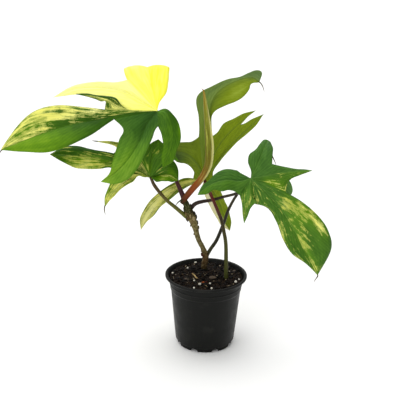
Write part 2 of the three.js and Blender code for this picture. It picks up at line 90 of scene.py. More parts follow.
# Stem, stalks and roots, in millimetres: points of the centre line from the root end up, the radius along it,
# and the screen colours along it
STEM = {
    "points": [(-2, 23, 62), (-3, 22, 92), (-1, 20, 110.5), (-5, 17, 123.5), (-11, 14, 137), (-15, 10, 153.5),
               (-20, 6, 169), (-24, 4, 179), (-27, 2, 188), (-31, 0, 196)],
    "radii": [3.6, 3.9, 3.9, 3.2, 3.1, 3.7, 5.3, 5, 3.9, 3.4],
    "tones": [(46, 38, 14), (58, 46, 20), (96, 72, 40), (112, 100, 60), (118, 110, 70), (124, 114, 70),
              (112, 98, 54), (60, 58, 22), (46, 56, 14), (52, 30, 16)],
}
BUD = {"points": [(-3.6, 19.5, 111.5), (-5, 19, 113.5), (-6.6, 18.4, 115.5)], "radii": [2.2, 2.6, 1],
       "tones": [(96, 40, 34), (84, 30, 28), (60, 24, 22)]}
STALKS = {
    "a": {
        "points": [(-29, 1, 190), (-31, 2, 198), (-35, 4, 207), (-40, 7, 218), (-48, 6, 245), (-57, -1, 282),
                   (-62, -8, 303), (-63, -12, 310)],
        "radii": [3.4, 3.3, 2.9, 2.4, 2, 1.9, 2.1, 1.6],
        "tones": [(58, 34, 34), (64, 34, 38), (70, 36, 38), (60, 34, 34), (66, 52, 34), (84, 84, 42)],
        "slot": "dark_stalk",
    },
    "b": {
        "points": [(25, -7, 60), (25.5, -7, 92), (25, -4, 115), (24, -2, 138), (21, -1, 154), (18, 0, 167.5),
                   (13, 0, 180), (6, 1, 196), (0, 9, 207), (-5, 22, 214)],
        "radii": [2.6, 2.7, 2.6, 2.4, 2.3, 2.2, 2.1, 2, 2.4, 1.8],
        "tones": [(54, 58, 20), (66, 70, 26), (72, 74, 28), (58, 54, 20), (50, 40, 20), (84, 34, 28),
                  (96, 34, 30), (58, 22, 18)],
        "slot": "green_stalk",
    },
    "c": {
        "points": [(-24, 4, 178), (-16, 6, 187), (-6, 8, 190), (5, 8, 192), (19, -2, 200), (36, -20, 212),
                   (46, -34, 228), (50, -40, 237)],
        "radii": [3, 2.6, 2.3, 2, 1.8, 1.7, 1.9, 1.5],
        "tones": [(46, 34, 30), (52, 40, 34), (50, 38, 32), (48, 40, 28), (38, 32, 22), (64, 62, 34)],
        "slot": "dark_stalk",
    },
    "d": {
        "points": [(-20, 5, 166), (-27, 4, 171), (-33, 2, 177), (-41, -1, 185), (-50, -5, 194),
                   (-58, -8, 204), (-66, -11, 216), (-71, -14, 228)],
        "radii": [3, 2.8, 2.6, 2.4, 2.2, 2.1, 2.2, 1.6],
        "tones": [(76, 82, 34), (94, 98, 36), (98, 98, 36), (92, 88, 34), (74, 58, 28), (70, 56, 28)],
        "slot": "green_stalk",
    },
    "e": {
        "points": [(-2, 21, 106.5), (5, 23, 119), (13, 22, 133), (21, 18, 157.5), (27, 13, 179), (36, 6, 200),
                   (48, 1, 218), (58, -2, 228)],
        "radii": [2.8, 2.4, 2.3, 2.1, 1.9, 1.7, 1.7, 1.3],
        "tones": [(76, 80, 46), (50, 50, 34), (40, 38, 28), (54, 50, 34), (50, 40, 32), (60, 50, 40)],
        "slot": "dark_stalk",
    },
}
NEW_LEAF = {
    "points": [(-32, 1, 190), (-28, -1, 198), (-19, -4, 211), (-8, -6, 226), (-1, -6, 243), (0, -6, 265),
               (-2, -6, 286), (-5, -6, 309), (-8, -6, 332), (-10.8, -6, 337.3)],
    "radii": [3, 3.6, 3.9, 4.1, 4.6, 5, 4.2, 2.8, 0.8, 0.15],
    "tones": [(40, 30, 14), (88, 40, 14), (134, 62, 20), (134, 84, 28), (118, 108, 28), (110, 114, 22),
              (112, 118, 24), (128, 132, 34), (152, 112, 30), (150, 78, 28)],
}
# How much of a stalk's line is built. The rest lies inside the blade.
STALK_SHARE = 0.992
AERIAL_ROOTS = {
    "left": {"points": [(-29, 1, 191), (-33, -4, 195), (-37, -6, 193), (-40, -7, 189)],
             "radii": [0.9, 0.8, 0.7, 0.3], "tones": [(58, 60, 34), (44, 44, 30)]},
    "right": {"points": [(-27, 2, 189), (-24, -3, 190), (-21, -4, 186)],
              "radii": [0.9, 0.8, 0.3], "tones": [(58, 60, 34), (44, 44, 30)]},
}
# Dry scraps of old leaf bases on the stem: share of the way up it, turn round it in degrees from the back
# towards its left, length in millimetres and screen colour
STEM_SCRAPS = [
    (0.71, 100, 11, (70, 46, 30)), (0.735, 85, 9, (96, 74, 44)), (0.68, 95, 9, (50, 30, 22)),
    (0.66, 110, 7, (64, 34, 26)), (0.75, 120, 8, (140, 118, 78)), (0.78, 95, 7, (48, 44, 24)),
    (0.76, 110, 6, (64, 46, 30)), (0.8, 80, 5.4, (46, 40, 24)), (0.7, 140, 5, (110, 80, 50)),
    (0.72, 180, 6, (158, 138, 98)), (0.67, 205, 6.4, (166, 148, 108)), (0.64, 170, 4.6, (132, 114, 78)),
    (0.76, 215, 5, (60, 48, 30)), (0.73, 235, 6, (44, 36, 24)), (0.7, 262, 6.6, (38, 32, 22)),
    (0.655, 270, 6.6, (44, 38, 28)), (0.6, 268, 6, (56, 50, 36)), (0.55, 274, 5, (76, 68, 48)),
    (0.79, 255, 6, (40, 34, 22)), (0.84, 285, 5, (44, 40, 24)), (0.86, 120, 5, (48, 52, 22)),
    (0.6, 120, 4, (74, 62, 40)), (0.5, 100, 3.6, (84, 70, 44)), (0.45, 200, 4, (132, 118, 84)),
    (0.3, 90, 3, (120, 96, 60)), (0.26, 230, 4, (60, 44, 24)), (0.23, 120, 4.4, (110, 92, 60)),
]
# Rings where old leaves sat on the stem: share of the way up it and height in millimetres
STEM_RINGS = [(0.37, 0.25), (0.47, 0.3), (0.58, 0.25), (0.66, 0.5), (0.72, 0.6), (0.8, 0.5), (0.9, 0.3)]

# Leaves, in millimetres. Each lobe has its vein from the junction out, the way its upper side faces at its
# base and its tip, its half widths left and right of the vein at even steps, the sinus that its right margin
# shares with the next lobe, and how many twelfths of its vein lie before that sinus. A tone is (cream,
# yellow, light, cool) at the base and at the tip: how much is cream, how yellow the cream is, how
# light the green is, with painted light and shade in it, and how blue-grey the green is, with a painted sheen
# in it. A spot adds to the tone round a place. It gives the lobe, the share along it, the share out (left +,
# right -), its reach both ways, and what it adds.
LEAF_A = {
    "junction": (-63, -12, 310),
    "vein_top": (56, 96, 10),
    "lobes": [
        {"vein": [(-52, -17, 310), (-45, -22, 297), (-43, -26, 281), (-47, -28, 263), (-55, -28, 244)],
         "face": [(0.15, -0.6, 0.77), (0.3, -0.93, 0.2)],
         "left": [4, 5, 8, 9, 9, 7, 8], "right": [20, 22, 20, 17, 14, 10, 8],
         "sinus": (-61, -22, 294), "reach": 3,
         "left_tone": [(-1, 0.6, 0.15, 0.3), (-1, 0.6, 0.5, 0)],
         "right_tone": [(-1, 0.6, 0.3, 0.4), (-1, 0.6, 0.5, 0)]},
        {"vein": [(-75, -22, 296), (-83, -32, 278), (-95, -40, 259), (-110, -45, 243), (-128, -47, 231)],
         "face": [(-0.1, -0.85, 0.5), (-0.1, -0.93, 0.35)],
         "left": [17, 4, 7, 11, 15, 16, 11], "right": [60, 46, 13, 15, 15, 11, 3],
         "sinus": (-113, -29, 303), "reach": 4,
         "left_tone": [(-1, 0.6, 0.2, 0.8), (-1, 0.6, 0.85, 0.1)],
         "right_tone": [(-1, 0.6, 0.2, 0.8), (-1, 0.6, 0.9, 0)]},
        {"vein": [(-97, -22, 309), (-131, -34, 304), (-167, -46, 298), (-204, -56, 287), (-241, -62, 272)],
         "face": [(-0.1, -0.75, 0.66), (-0.2, -0.78, 0.6)],
         "left": [2, 8, 15, 23, 27, 26, 14], "right": [9, 15, 20, 26, 33, 33, 20],
         "sinus": (-124, -27, 314), "reach": 5,
         "left_tone": [(-1, 0.4, 0.15, 0.3), (-1, 0.4, 0.66, 0)],
         "right_tone": [(0.38, 0.42, 0.36, 0.1), (0.56, 0.42, 0.45, 0)]},
        {"vein": [(-86, -15, 310), (-106, -17, 315), (-122, -18, 324), (-140, -19, 329), (-159, -19, 330)],
         "face": [(-0.1, -0.75, 0.66), (-0.1, -0.7, 0.7)],
         "left": [22, 19, 13, 1, 5, 4, 2], "right": [4, 3, 6, 9, 5, 2, 2],
         "sinus": (-95, -15, 309), "reach": 3,
         "left_tone": [(0.5, 0.38, 0.35, 0.1), (0.35, 0.38, 0.3, 0.1)],
         "right_tone": [(0.36, 0.38, 0.25, 0.2), (0.16, 0.38, 0.25, 0.3)]},
        {"vein": [(-79, -3, 317), (-99, 6, 326), (-129, 12, 331), (-160, 15, 329), (-191, 14, 318)],
         "face": [(-0.1, -0.62, 0.78), (-0.1, -0.6, 0.8)],
         "left": [20, 22, 21, 17, 15, 10, 6], "right": [21, 17, 12, 6, 7, 7, 6],
         "sinus": (-101, 16, 341), "reach": 5,
         "left_tone": [(1.5, 0.86, 0.5, 0), (1.5, 0.68, 0.5, 0)],
         "right_tone": [(1.5, 0.8, 0.5, 0), (1.5, 0.66, 0.5, 0)]},
        {"vein": [(-67, -2, 323), (-72, 10, 339), (-76, 26, 352), (-79, 48, 350), (-82, 68, 336)],
         "face": [(0, -0.7, 0.7), (0, -0.1, 1)],
         "left": [26, 28, 30, 31, 30, 25, 15], "right": [5, 16, 21, 24, 26, 23, 13],
         "left_tone": [(1.5, 0.88, 0.5, 0), (1.5, 0.88, 0.5, 0)],
         "right_tone": [(1.5, 0.97, 0.5, 0), (1.5, 0.95, 0.5, 0)]},
    ],
    "spots": [
        (2, 0.67, -0.75, 0.09, 0.38, (0.28, -0.1, 0, 0)),
        (2, 0.57, -0.32, 0.07, 0.25, (0.28, 0.05, 0, 0)),
        (2, 0.62, -0.1, 0.07, 0.18, (-0.39, 0, -0.1, 0.1)),
        (2, 0.49, -0.2, 0.07, 0.25, (-0.33, 0, -0.1, 0)),
        (2, 0.6, -0.95, 0.05, 0.25, (-0.22, 0, -0.15, 0.1)),
        (2, 0.42, -0.5, 0.07, 0.75, (-0.19, 0.1, -0.1, 0)),
        (2, 0.47, -0.8, 0.04, 0.19, (0.33, 0.2, 0, 0)),
        (2, 0.74, -0.3, 0.06, 0.38, (-0.14, 0, 0, 0)),
        (2, 0.83, -0.7, 0.1, 0.5, (0.11, -0.05, 0.1, 0)),
        (2, 0.9, -0.1, 0.12, 0.25, (0.08, 0, 0.1, 0)),
        (2, 0.78, 0.6, 0.18, 0.62, (0, 0, 0.2, -0.1)),
        (2, 0.45, 0.4, 0.15, 0.75, (0, 0, -0.1, 0.2)),
        (3, 0.45, 0.2, 0.18, 0.38, (0.28, 0.05, 0, 0)),
        (3, 0.66, 0.2, 0.12, 0.31, (0.17, 0.05, 0, 0)),
        (3, 0.5, -0.8, 0.25, 0.38, (-0.22, 0, -0.1, 0.1)),
        (3, 0.9, 0, 0.12, 1.25, (-0.28, 0, -0.1, 0.1)),
        # Painted highlight with a painted blue-grey sheen where the posterior lobe bends over
        (0, 0.08, 0.5, 0.1, 0.88, (0, 0, 0.45, 0.2)),
        (0, 0.51, 1, 0.09, 0.31, (0.5, 0.15, 0.4, -0.2)),
        (1, 0.58, 0.3, 0.2, 0.75, (0, 0, 0.15, -0.2)),
        (1, 0.3, 0, 0.18, 0.38, (0, 0, -0.15, 0)),
        (5, 0.8, 0.9, 0.16, 0.4, (0, -0.2, 0, 0)),
        (4, 0.45, -0.5, 0.2, 0.5, (0, -0.1, 0, 0)),
    ],
}
LEAF_B = {
    "junction": (-5, 22, 214),
    "vein_top": (100, 130, 50),
    "lobes": [
        {"vein": [(6, 26, 199), (15, 30, 181), (22, 32, 161), (30, 32, 142)],
         "face": [(0.1, 0.95, 0.2), (0.1, 0.95, 0.2)],
         "left": [11, 12.5, 13.5, 13.5, 12.5, 10, 8], "right": [7, 10, 9, 8, 9, 8, 6],
         "sinus": (7, 25, 209), "reach": 2,
         "left_tone": [(1.5, 0.06, 0.6, 0), (1.5, 0.06, 0.6, 0)],
         "right_tone": [(-0.4, 0.38, 0.75, 0), (-0.4, 0.38, 0.65, 0)]},
        {"vein": [(7, 26, 231), (24, 33, 253), (45, 40, 274), (68, 46, 295)],
         "face": [(0.1, 0.9, 0.4), (0.1, 0.9, 0.4)],
         "left": [11, 1, 1, 2, 3, 5, 5], "right": [12, 12, 11, 9, 7, 3, 5],
         "sinus": (39, 37, 283), "reach": 9,
         "tone": [(-0.4, 0.38, 0.6, 0), (-0.4, 0.38, 0.6, 0)]},
        {"vein": [(3, 25, 239), (16, 31, 263), (36, 38, 283), (58, 44, 300)],
         "face": [(0.1, 0.9, 0.4), (0.1, 0.9, 0.4)],
         "left": [2, 4, 7, 9, 9, 6, 1], "right": [17, 17, 16, 12, 14, 10, 7],
         "sinus": (4, 26, 270), "reach": 5,
         "tone": [(-0.4, 0.38, 0.6, 0), (-0.4, 0.38, 0.6, 0)]},
        {"vein": [(-4, 24, 253), (-2, 26, 280), (0, 28, 308), (11, 32, 327), (33, 37, 339), (51, 41, 342),
                  (61, 43, 336)],
         "face": [(0, 0.97, 0.22), (0.05, 0.99, 0.1)],
         "left": [3, 10, 15, 17, 8, 1, 11, 19, 20, 16, 7], "right": [11, 8, 5, 2, 7, 19, 12, 8, 4, 7, 12],
         "sinus": (-13, 26, 269), "reach": 4,
         "left_tone": [(-0.4, 0.38, 0.4, 0.1), (-0.4, 0.38, 0.55, 0.1)],
         "right_tone": [(-0.4, 0.38, 0.5, 0.25), (-0.4, 0.38, 0.62, 0.4)]},
        {"vein": [(-13, 23, 233), (-25, 24, 246), (-39, 25, 250), (-53, 25, 249)],
         "face": [(-0.1, 0.95, 0.3), (-0.1, 0.95, 0.3)],
         "left": [21, 15, 10, 8, 10, 11, 7], "right": [15, 10, 10, 13, 16, 16, 12],
         "sinus": (-19, 24, 215), "reach": 2,
         "left_tone": [(-0.4, 0.38, 0.5, 0), (-0.4, 0.38, 0.5, 0.3)],
         "right_tone": [(-0.4, 0.38, 0.45, 0), (-0.4, 0.38, 0.4, 0.5)]},
        {"vein": [(-20, 25, 209), (-42, 27, 199), (-62, 26, 181), (-76, 22, 163), (-85, 18, 146)],
         "face": [(-0.1, 0.9, 0.4), (-0.2, 0.9, 0.3)],
         "left": [14, 18, 14, 13, 13, 11, 8], "right": [3, 4, 7, 8, 6, 6, 2],
         "left_tone": [(0.3, 0.3, 0.5, 0.1), (0.8, 0.26, 0.5, 0.1)],
         "right_tone": [(0.35, 0.3, 0.4, 0.2), (0.65, 0.26, 0.4, 0.2)]},
    ],
    "spots": [
        (0, 0.5, 0.05, 0.6, 0.36, (-2.2, 0, 0, 0)),
        # Painted blue-grey sheen on the terminal lobe towards its tip
        (3, 0.75, -0.6, 0.2, 0.62, (0, 0, -0.1, 0.5)),
        (3, 0.9, -0.7, 0.1, 0.62, (0, 0, -0.15, 0.7)),
        (3, 0.72, 0.6, 0.15, 0.5, (0, 0, 0.3, -0.2)),
        (3, 0.5, -0.5, 0.12, 0.75, (0, 0, -0.1, 0.3)),
        (4, 0.8, -0.7, 0.22, 0.62, (0, 0, -0.3, 0.5)),
        (5, 0.3, 0.8, 0.25, 0.38, (-0.17, 0, -0.2, -0.1)),
        (5, 0.5, 0.25, 0.25, 0.38, (0.25, 0, 0.1, 0)),
        (5, 0.78, 0.15, 0.22, 0.44, (0.25, -0.05, 0.1, 0)),
        (5, 0.6, 1, 0.5, 0.22, (-0.28, 0, 0, 0)),
        (5, 0.6, -1, 0.5, 0.38, (-0.17, 0, 0, 0)),
    ],
}
# Leaf C's large blue-grey shares are partly a painted grey sheen
LEAF_C = {
    "junction": (50, -40, 237),
    "vein_top": (98, 138, 58),
    "lobes": [
        {"vein": [(56, -36, 248), (62, -29, 261), (67, -19, 271), (72, -6, 274), (79, 6, 261)],
         "face": [(0, -0.8, 0.6), (0.1, -0.3, 0.95)],
         "left": [4, 12, 14, 9, 7, 5, 2], "right": [13, 10, 8, 8, 8, 4, 2],
         "sinus": (75, -38, 255), "reach": 5,
         "left_tone": [(-0.4, 0.38, 0.45, 0.6), (-0.4, 0.38, 0.4, 0.8)],
         "right_tone": [(-0.4, 0.38, 0.4, 0.6), (-0.4, 0.38, 0.35, 0.8)]},
        {"vein": [(67, -42, 241), (85, -44, 246), (104, -46, 249), (122, -48, 251)],
         "face": [(0.05, -0.75, 0.66), (0.05, -0.75, 0.66)],
         "left": [15, 13, 10, 7, 5, 3, 2], "right": [21, 16, 11, 6, 5, 5, 3],
         "sinus": (92, -47, 223), "reach": 5,
         "left_tone": [(-0.4, 0.38, 0.4, 0.7), (-0.4, 0.38, 0.4, 0.6)],
         "right_tone": [(0.12, 0.38, 0.4, 0.5), (0.1, 0.38, 0.5, 0.2)]},
        {"vein": [(68, -49, 223), (87, -58, 204), (103, -65, 181), (119, -69, 155), (133, -71, 127)],
         "face": [(0.1, -0.8, 0.6), (0.2, -0.9, 0.4)],
         "left": [17, 19, 22, 32, 37, 37, 29], "right": [30, 20, 2, 7, 15, 16, 7],
         "sinus": (56, -52, 209), "reach": 4,
         "left_tone": [(0.02, 0.36, 0.42, 0.6), (0.26, 0.38, 0.5, 0.45)],
         "right_tone": [(0.1, 0.36, 0.42, 0.6), (0.32, 0.38, 0.45, 0.35)]},
        {"vein": [(48, -47, 225), (46, -54, 211), (43, -62, 188)],
         "face": [(0, -0.8, 0.6), (-0.1, -0.9, 0.4)],
         "left": [9, 10, 12, 13, 9, 5, 3], "right": [10, 10, 10, 9, 7, 5, 3],
         "sinus": (38, -46, 217), "reach": 4,
         "left_tone": [(0.1, 0.38, 0.45, 0.5), (0.2, 0.38, 0.5, 0.4)],
         "right_tone": [(0.1, 0.38, 0.4, 0.5), (0.2, 0.38, 0.45, 0.4)]},
        {"vein": [(37, -43, 234), (20, -46, 236), (3, -48, 231), (-13, -49, 218)],
         "face": [(-0.1, -0.75, 0.66), (-0.2, -0.8, 0.55)],
         "left": [14, 11, 6, 8, 11, 7, 7], "right": [8, 13, 14, 14, 11, 6, 5],
         "left_tone": [(-0.4, 0.38, 0.45, 0.6), (-0.4, 0.38, 0.5, 0.3)],
         "right_tone": [(-0.4, 0.38, 0.35, 0.8), (-0.4, 0.38, 0.4, 0.6)]},
    ],
    "spots": [
        (1, 0.33, -0.75, 0.12, 0.38, (0.2, 0, 0.1, -0.4)),
        (1, 0.26, -0.5, 0.07, 0.38, (0.14, -0.1, 0.1, -0.2)),
        (1, 0.45, -0.9, 0.12, 0.38, (0.1, 0.05, 0, -0.2)),
        (2, 0.5, 0.8, 0.1, 0.31, (0.08, 0, 0.1, -0.3)),
        (2, 0.6, 0.85, 0.09, 0.25, (0.26, 0, 0.1, -0.3)),
        (2, 0.7, 0.85, 0.09, 0.2, (0.32, 0.1, 0.1, -0.3)),
        (2, 0.54, 0.3, 0.1, 0.35, (0.26, -0.06, 0.2, -0.2)),
        (2, 0.4, 0.4, 0.07, 0.38, (0.17, -0.1, 0.1, 0)),
        (2, 0.69, 0.04, 0.1, 0.12, (0.39, -0.05, 0.2, -0.2)),
        (2, 0.8, -0.02, 0.1, 0.12, (0.39, 0, 0.2, -0.2)),
        (2, 0.92, -0.1, 0.09, 0.25, (0.33, 0, 0.2, -0.2)),
        (2, 0.57, -0.95, 0.09, 0.25, (0.28, 0.05, 0.1, -0.2)),
        (2, 0.76, 0.6, 0.17, 0.38, (-0.16, 0, 0, 0)),
        (2, 0.88, 0.6, 0.12, 0.62, (-0.28, 0, -0.05, 0)),
        (2, 0.55, -0.3, 0.15, 0.44, (-0.22, 0, 0, 0)),
        (2, 0.78, -0.5, 0.15, 0.38, (-0.22, 0, 0, 0)),
        (3, 0.5, -0.2, 0.31, 0.31, (0.17, -0.1, 0.2, 0)),
    ],
}
LEAF_D = {
    "junction": (-71, -14, 228),
    "vein_top": (84, 116, 30),
    "lobes": [
        {"vein": [(-86, -18, 231), (-101, -22, 223), (-116, -25, 208), (-126, -26, 192)],
         "face": [(-0.1, -0.8, 0.6), (-0.2, -0.85, 0.5)],
         "left": [2, 1, 5, 4, 3, 3, 1], "right": [18, 18, 16, 14, 12, 9, 6],
         "sinus": (-111, -19, 235), "reach": 4,
         "left_tone": [(0.5, 0.36, 0.45, 0), (0.66, 0.34, 0.5, 0)],
         "right_tone": [(0.46, 0.36, 0.45, 0), (0.5, 0.34, 0.5, 0)]},
        {"vein": [(-94, -16, 242), (-119, -20, 250), (-143, -24, 254), (-166, -28, 258), (-190, -31, 259)],
         "face": [(-0.1, -0.75, 0.66), (-0.2, -0.7, 0.7)],
         "left": [14, 9, 1, 9, 14, 16, 10], "right": [12, 10, 7, 9, 11, 13, 10],
         "sinus": (-115, -17, 258), "reach": 5,
         "left_tone": [(0.3, 0.35, 0.38, 0.1), (0.36, 0.35, 0.4, 0)],
         "right_tone": [(0.18, 0.35, 0.36, 0.2), (0.26, 0.35, 0.36, 0.3)]},
        {"vein": [(-87, -13, 246), (-102, -13, 260), (-117, -13, 268), (-137, -12, 271)],
         "face": [(-0.1, -0.75, 0.66), (-0.1, -0.7, 0.7)],
         "left": [14, 18, 20, 8, 4, 2, 1], "right": [7, 8, 9, 11, 7, 4, 2],
         "sinus": (-91, -10, 260), "reach": 5,
         "left_tone": [(0.4, 0.45, 0.3, 0.1), (0.8, 0.38, 0.4, 0)],
         "right_tone": [(0.4, 0.45, 0.3, 0.1), (0.6, 0.38, 0.35, 0)]},
        {"vein": [(-72, -9, 242), (-69, -6, 257), (-62, -4, 273)],
         "face": [(-0.1, -0.8, 0.6), (0, -0.7, 0.7)],
         "left": [27, 21, 15, 8, 6, 7, 5], "right": [18, 22, 27, 32, 36, 37, 27],
         "sinus": (-50, -5, 251), "reach": 6,
         "tone": [(0, 0.3, 0.5, 0.3), (-0.05, 0.3, 0.5, 0.3)]},
        {"vein": [(-61, -9, 229), (-49, -5, 229), (-37, -3, 221)],
         "face": [(0.1, -0.75, 0.65), (0.2, -0.7, 0.7)],
         "left": [26, 27, 27, 25, 21, 16, 10], "right": [8, 9, 9, 10, 10, 9, 7],
         "left_tone": [(-0.1, 0.36, 0.3, 0.3), (-0.1, 0.36, 0.35, 0.2)],
         "right_tone": [(0.05, 0.36, 0.4, 0.1), (0.05, 0.36, 0.42, 0)]},
    ],
    "spots": [
        # Less cream, and a painted grey sheen along this lobe's upper margin
        (1, 0.68, -0.95, 0.18, 0.44, (-0.39, 0, -0.1, 0.6)),
        (1, 0.84, -0.6, 0.12, 0.5, (0.17, 0.05, 0, 0)),
        (1, 0.56, 0.35, 0.12, 0.62, (0.17, -0.05, 0.3, 0)),
        (1, 0.7, 0.55, 0.1, 0.5, (0.14, -0.05, 0.3, 0)),
        (1, 0.6, 0.95, 0.15, 0.2, (0.22, 0, 0.2, 0)),
        (1, 0.78, -0.05, 0.07, 0.19, (-0.28, 0, -0.1, 0)),
        (1, 0.92, 0.3, 0.09, 0.62, (-0.11, 0, 0, 0)),
        (0, 0.6, -0.1, 0.44, 0.44, (0.22, -0.05, 0.1, 0)),
        (0, 0.6, -0.95, 0.5, 0.31, (-0.28, 0, 0.1, 0)),
        (3, 0.67, -0.2, 0.07, 0.12, (0.28, 0, 0.1, 0)),
        (3, 0.2, 0.2, 0.12, 0.44, (0.5, 0.1, 0.2, -0.3)),
        (4, 0.3, 0.5, 0.16, 0.2, (0.6, 0, 0.1, 0)),
        (4, 0.72, 0.05, 0.18, 0.38, (0.36, 0.2, 0.2, -0.3)),
        (4, 0.45, -0.5, 0.25, 0.38, (0.17, 0.1, 0.3, -0.2)),
    ],
}
LEAF_E = {
    "junction": (58, -2, 228),
    "vein_top": (84, 122, 70),
    "lobes": [
        {"vein": [(70, 0, 228), (84, -1, 223), (94, -4, 213), (98, -8, 200)],
         "face": [(0, -0.75, 0.66), (0.1, -0.8, 0.6)],
         "left": [4, 7, 9, 11, 12, 11, 8], "right": [8, 10, 10, 9, 8, 6, 3],
         "sinus": (74, -7, 214), "reach": 5,
         "left_tone": [(0.1, 0.38, 0.35, 0.8), (-0.4, 0.38, 0.8, 1)],
         "right_tone": [(0.2, 0.38, 0.35, 0.8), (-0.4, 0.38, 0.8, 1)]},
        {"vein": [(70, -8, 216), (84, -16, 200), (97, -24, 183), (107, -30, 166)],
         "face": [(0.1, -0.8, 0.6), (0.2, -0.85, 0.5)],
         "left": [10, 12, 14, 16, 16, 13, 7], "right": [10, 11, 12, 13, 13, 10, 6],
         "sinus": (64, -6, 210), "reach": 4,
         "tone": [(0.3, 0.38, 0.35, 0.6), (0.3, 0.38, 0.4, 0.5)]},
        {"vein": [(55, -4, 219), (52, -8, 208), (50, -13, 196)],
         "face": [(-0.1, -0.8, 0.6), (-0.1, -0.85, 0.5)],
         "left": [8, 10, 10, 9, 8, 6, 3], "right": [4, 6, 7, 7, 6, 5, 3],
         "tone": [(0.2, 0.38, 0.35, 0.7), (0.1, 0.38, 0.4, 0.6)]},
    ],
    "spots": [],
}
LEAVES = {"a": LEAF_A, "b": LEAF_B, "c": LEAF_C, "d": LEAF_D, "e": LEAF_E}

# Thin dry tips that some lobes end in, by leaf: points from inside the blade out
DRIP_TIPS = {
    "a": [[(-238.5, -61.3, 273), (-241, -62, 271), (-244.3, -63, 265.2)]],
    "b": [[(58, 42.6, 338), (61, 43, 336.2), (64.6, 43, 332), (67.4, 42, 324.6)]],
    "c": [[(77.6, 5, 254), (78.6, 6, 250.9), (81.1, 7, 245.9), (83.4, 7, 240.7)],
          [(132.8, -71, 128.4), (133, -71.4, 126), (131.2, -71, 122.4), (129.3, -70, 118.2)]],
    "d": [[(-125.6, -26, 194), (-126.2, -26, 191), (-126.4, -26, 187.4), (-125.4, -25, 181.9)],
          [(-134.5, -12, 271), (-137.4, -12, 271.2), (-141.6, -12, 271.7)]],
}
DRIP_TIP_RADII = [0.7, 0.7, 0.6, 0.25]
DRIP_TIP_TONES = [(64, 72, 28), (72, 60, 34), (116, 102, 76)]
# Screen colours of leaf parts, the greens from dark to light. The blue-grey ramps give both a bluish tone
# and a painted sheen.
COOL_AND_SHEEN_GREENS = [(26, 56, 16), (52, 92, 36), (80, 124, 56), (124, 158, 98)]
UNDER_GREENS = [(64, 84, 8), (98, 120, 14), (128, 148, 26), (164, 184, 64)]
COOL_AND_SHEEN_UNDER_GREENS = [(62, 86, 40), (92, 118, 62), (120, 146, 84), (152, 176, 120)]
VEIN_UNDER = (88, 110, 40)
# Lights of the studio: the setting with its strength, and in degrees the width of the source, its tilt from
# straight down and its turn
LIGHTS = {"light_top": ("top_light", 80, 22, 200), "light_front": ("front_light", 60, 52, -25)}


def paint(red, green, blue):
    """A screen colour from 0 to 255 as the linear values that a shader takes."""
    share = np.array([red, green, blue]) / 255
    linear = np.where(share <= 0.04045, share / 12.92, ((share + 0.055) / 1.055) ** 2.4)
    return (*(float(value) for value in linear), 1.0)


def paints(tones):
    """Several screen colours as linear values."""
    return [paint(*tone) for tone in tones]


def lattice_values(cells, seed):
    """A fixed value from 0 to 1 for each lattice corner: its three whole numbers and the seed, each times a
    large prime and joined bit by bit, pick one of 4096 stored random values."""
    primes = (73856093, 19349663, 83492791, 15485863)
    mixed = (cells[..., 0] * primes[0]) ^ (cells[..., 1] * primes[1]) ^ (cells[..., 2] * primes[2])
    return LATTICE[(mixed ^ (seed * primes[3])) & (len(LATTICE) - 1)]


def smooth_noise(points, seed=0):
    """Noise from -1 to 1: the values of the eight lattice corners round a point, blended along each axis by
    3t^2 - 2t^3 of the distance t into the cell."""
    cells = np.floor(points).astype(np.int64)
    part = points - cells
    blend = part * part * (3 - 2 * part)
    total = 0
    for corner in itertools.product((0, 1), repeat=3):
        weight = np.prod(np.where(np.array(corner) == 1, blend, 1 - blend), axis=-1)
        total = total + weight * lattice_values(cells + np.array(corner), seed)
    return total * 2 - 1


def layered_noise(points, octaves, seed=0):
    """Smooth noise added up over octaves, each twice as fine and half as strong as the one before."""
    layers = [smooth_noise(points * 2**octave, seed + octave) / 2**octave for octave in range(octaves)]
    return sum(layers) / (2 - 2 ** (1 - octaves))


def spline(points, share):
    """Uniform Catmull-Rom curve: with t the way through the span that holds each share, half of
    2b + (c - a)t + (2a - 5b + 4c - d)t^2 + (3b - a - 3c + d)t^3 of the four points round it."""
    known = np.asarray(points, float)
    spans = len(known) - 1
    padded = np.concatenate([[2 * known[0] - known[1]], known, [2 * known[-1] - known[-2]]])
    along = np.clip(np.asarray(share, float), 0, 1) * spans
    first = np.minimum(along.astype(int), spans - 1)
    a, b, c, d = (padded[first + step] for step in range(4))
    t = along - first
    t = t[..., None] if known.ndim > 1 else t
    return 0.5 * (2 * b + (c - a) * t + (2 * a - 5 * b + 4 * c - d) * t**2 + (3 * b - a - 3 * c + d) * t**3)


def tones_along(tones, share):
    """Linear colours along a piece, straight between the given screen colours at even steps."""
    known = np.array(paints(tones))[:, :3]
    steps = np.linspace(0, 1, len(known))
    return np.stack([np.interp(share, steps, known[:, channel]) for channel in range(3)], -1)


def unit(vectors):
    """Vectors divided by their lengths."""
    shortest = 1e-12
    return vectors / np.maximum(np.linalg.norm(vectors, axis=-1, keepdims=True), shortest)


def smooth_rise(value, low, high):
    """0 below low, 1 above high and 3t^2 - 2t^3 of the share t between them."""
    t = np.clip((value - low) / (high - low), 0, 1)
    return t * t * (3 - 2 * t)


def capped_grid(points):
    """A closed surface from rows of points round an axis: quads between the rows, and a fan of triangles from
    the middle of each end row."""
    rows, columns, _ = points.shape
    vertices = np.concatenate([points.reshape(-1, 3), [points[0].mean(0), points[-1].mean(0)]])
    place = np.arange(rows * columns).reshape(rows, columns)
    following = np.roll(place, -1, axis=1)
    quads = np.stack([place[:-1], following[:-1], following[1:], place[1:]], -1).reshape(-1, 4)
    first = np.stack([np.full(columns, rows * columns), following[0], place[0]], -1)
    last = np.stack([np.full(columns, rows * columns + 1), place[-1], following[-1]], -1)
    return vertices, [quads, np.concatenate([first, last])]


def direction(points, share):
    """The way that a curve runs at each share, from two points a thousandth of its length to both sides."""
    step = 0.001
    return unit(spline(points, share + step) - spline(points, share - step))


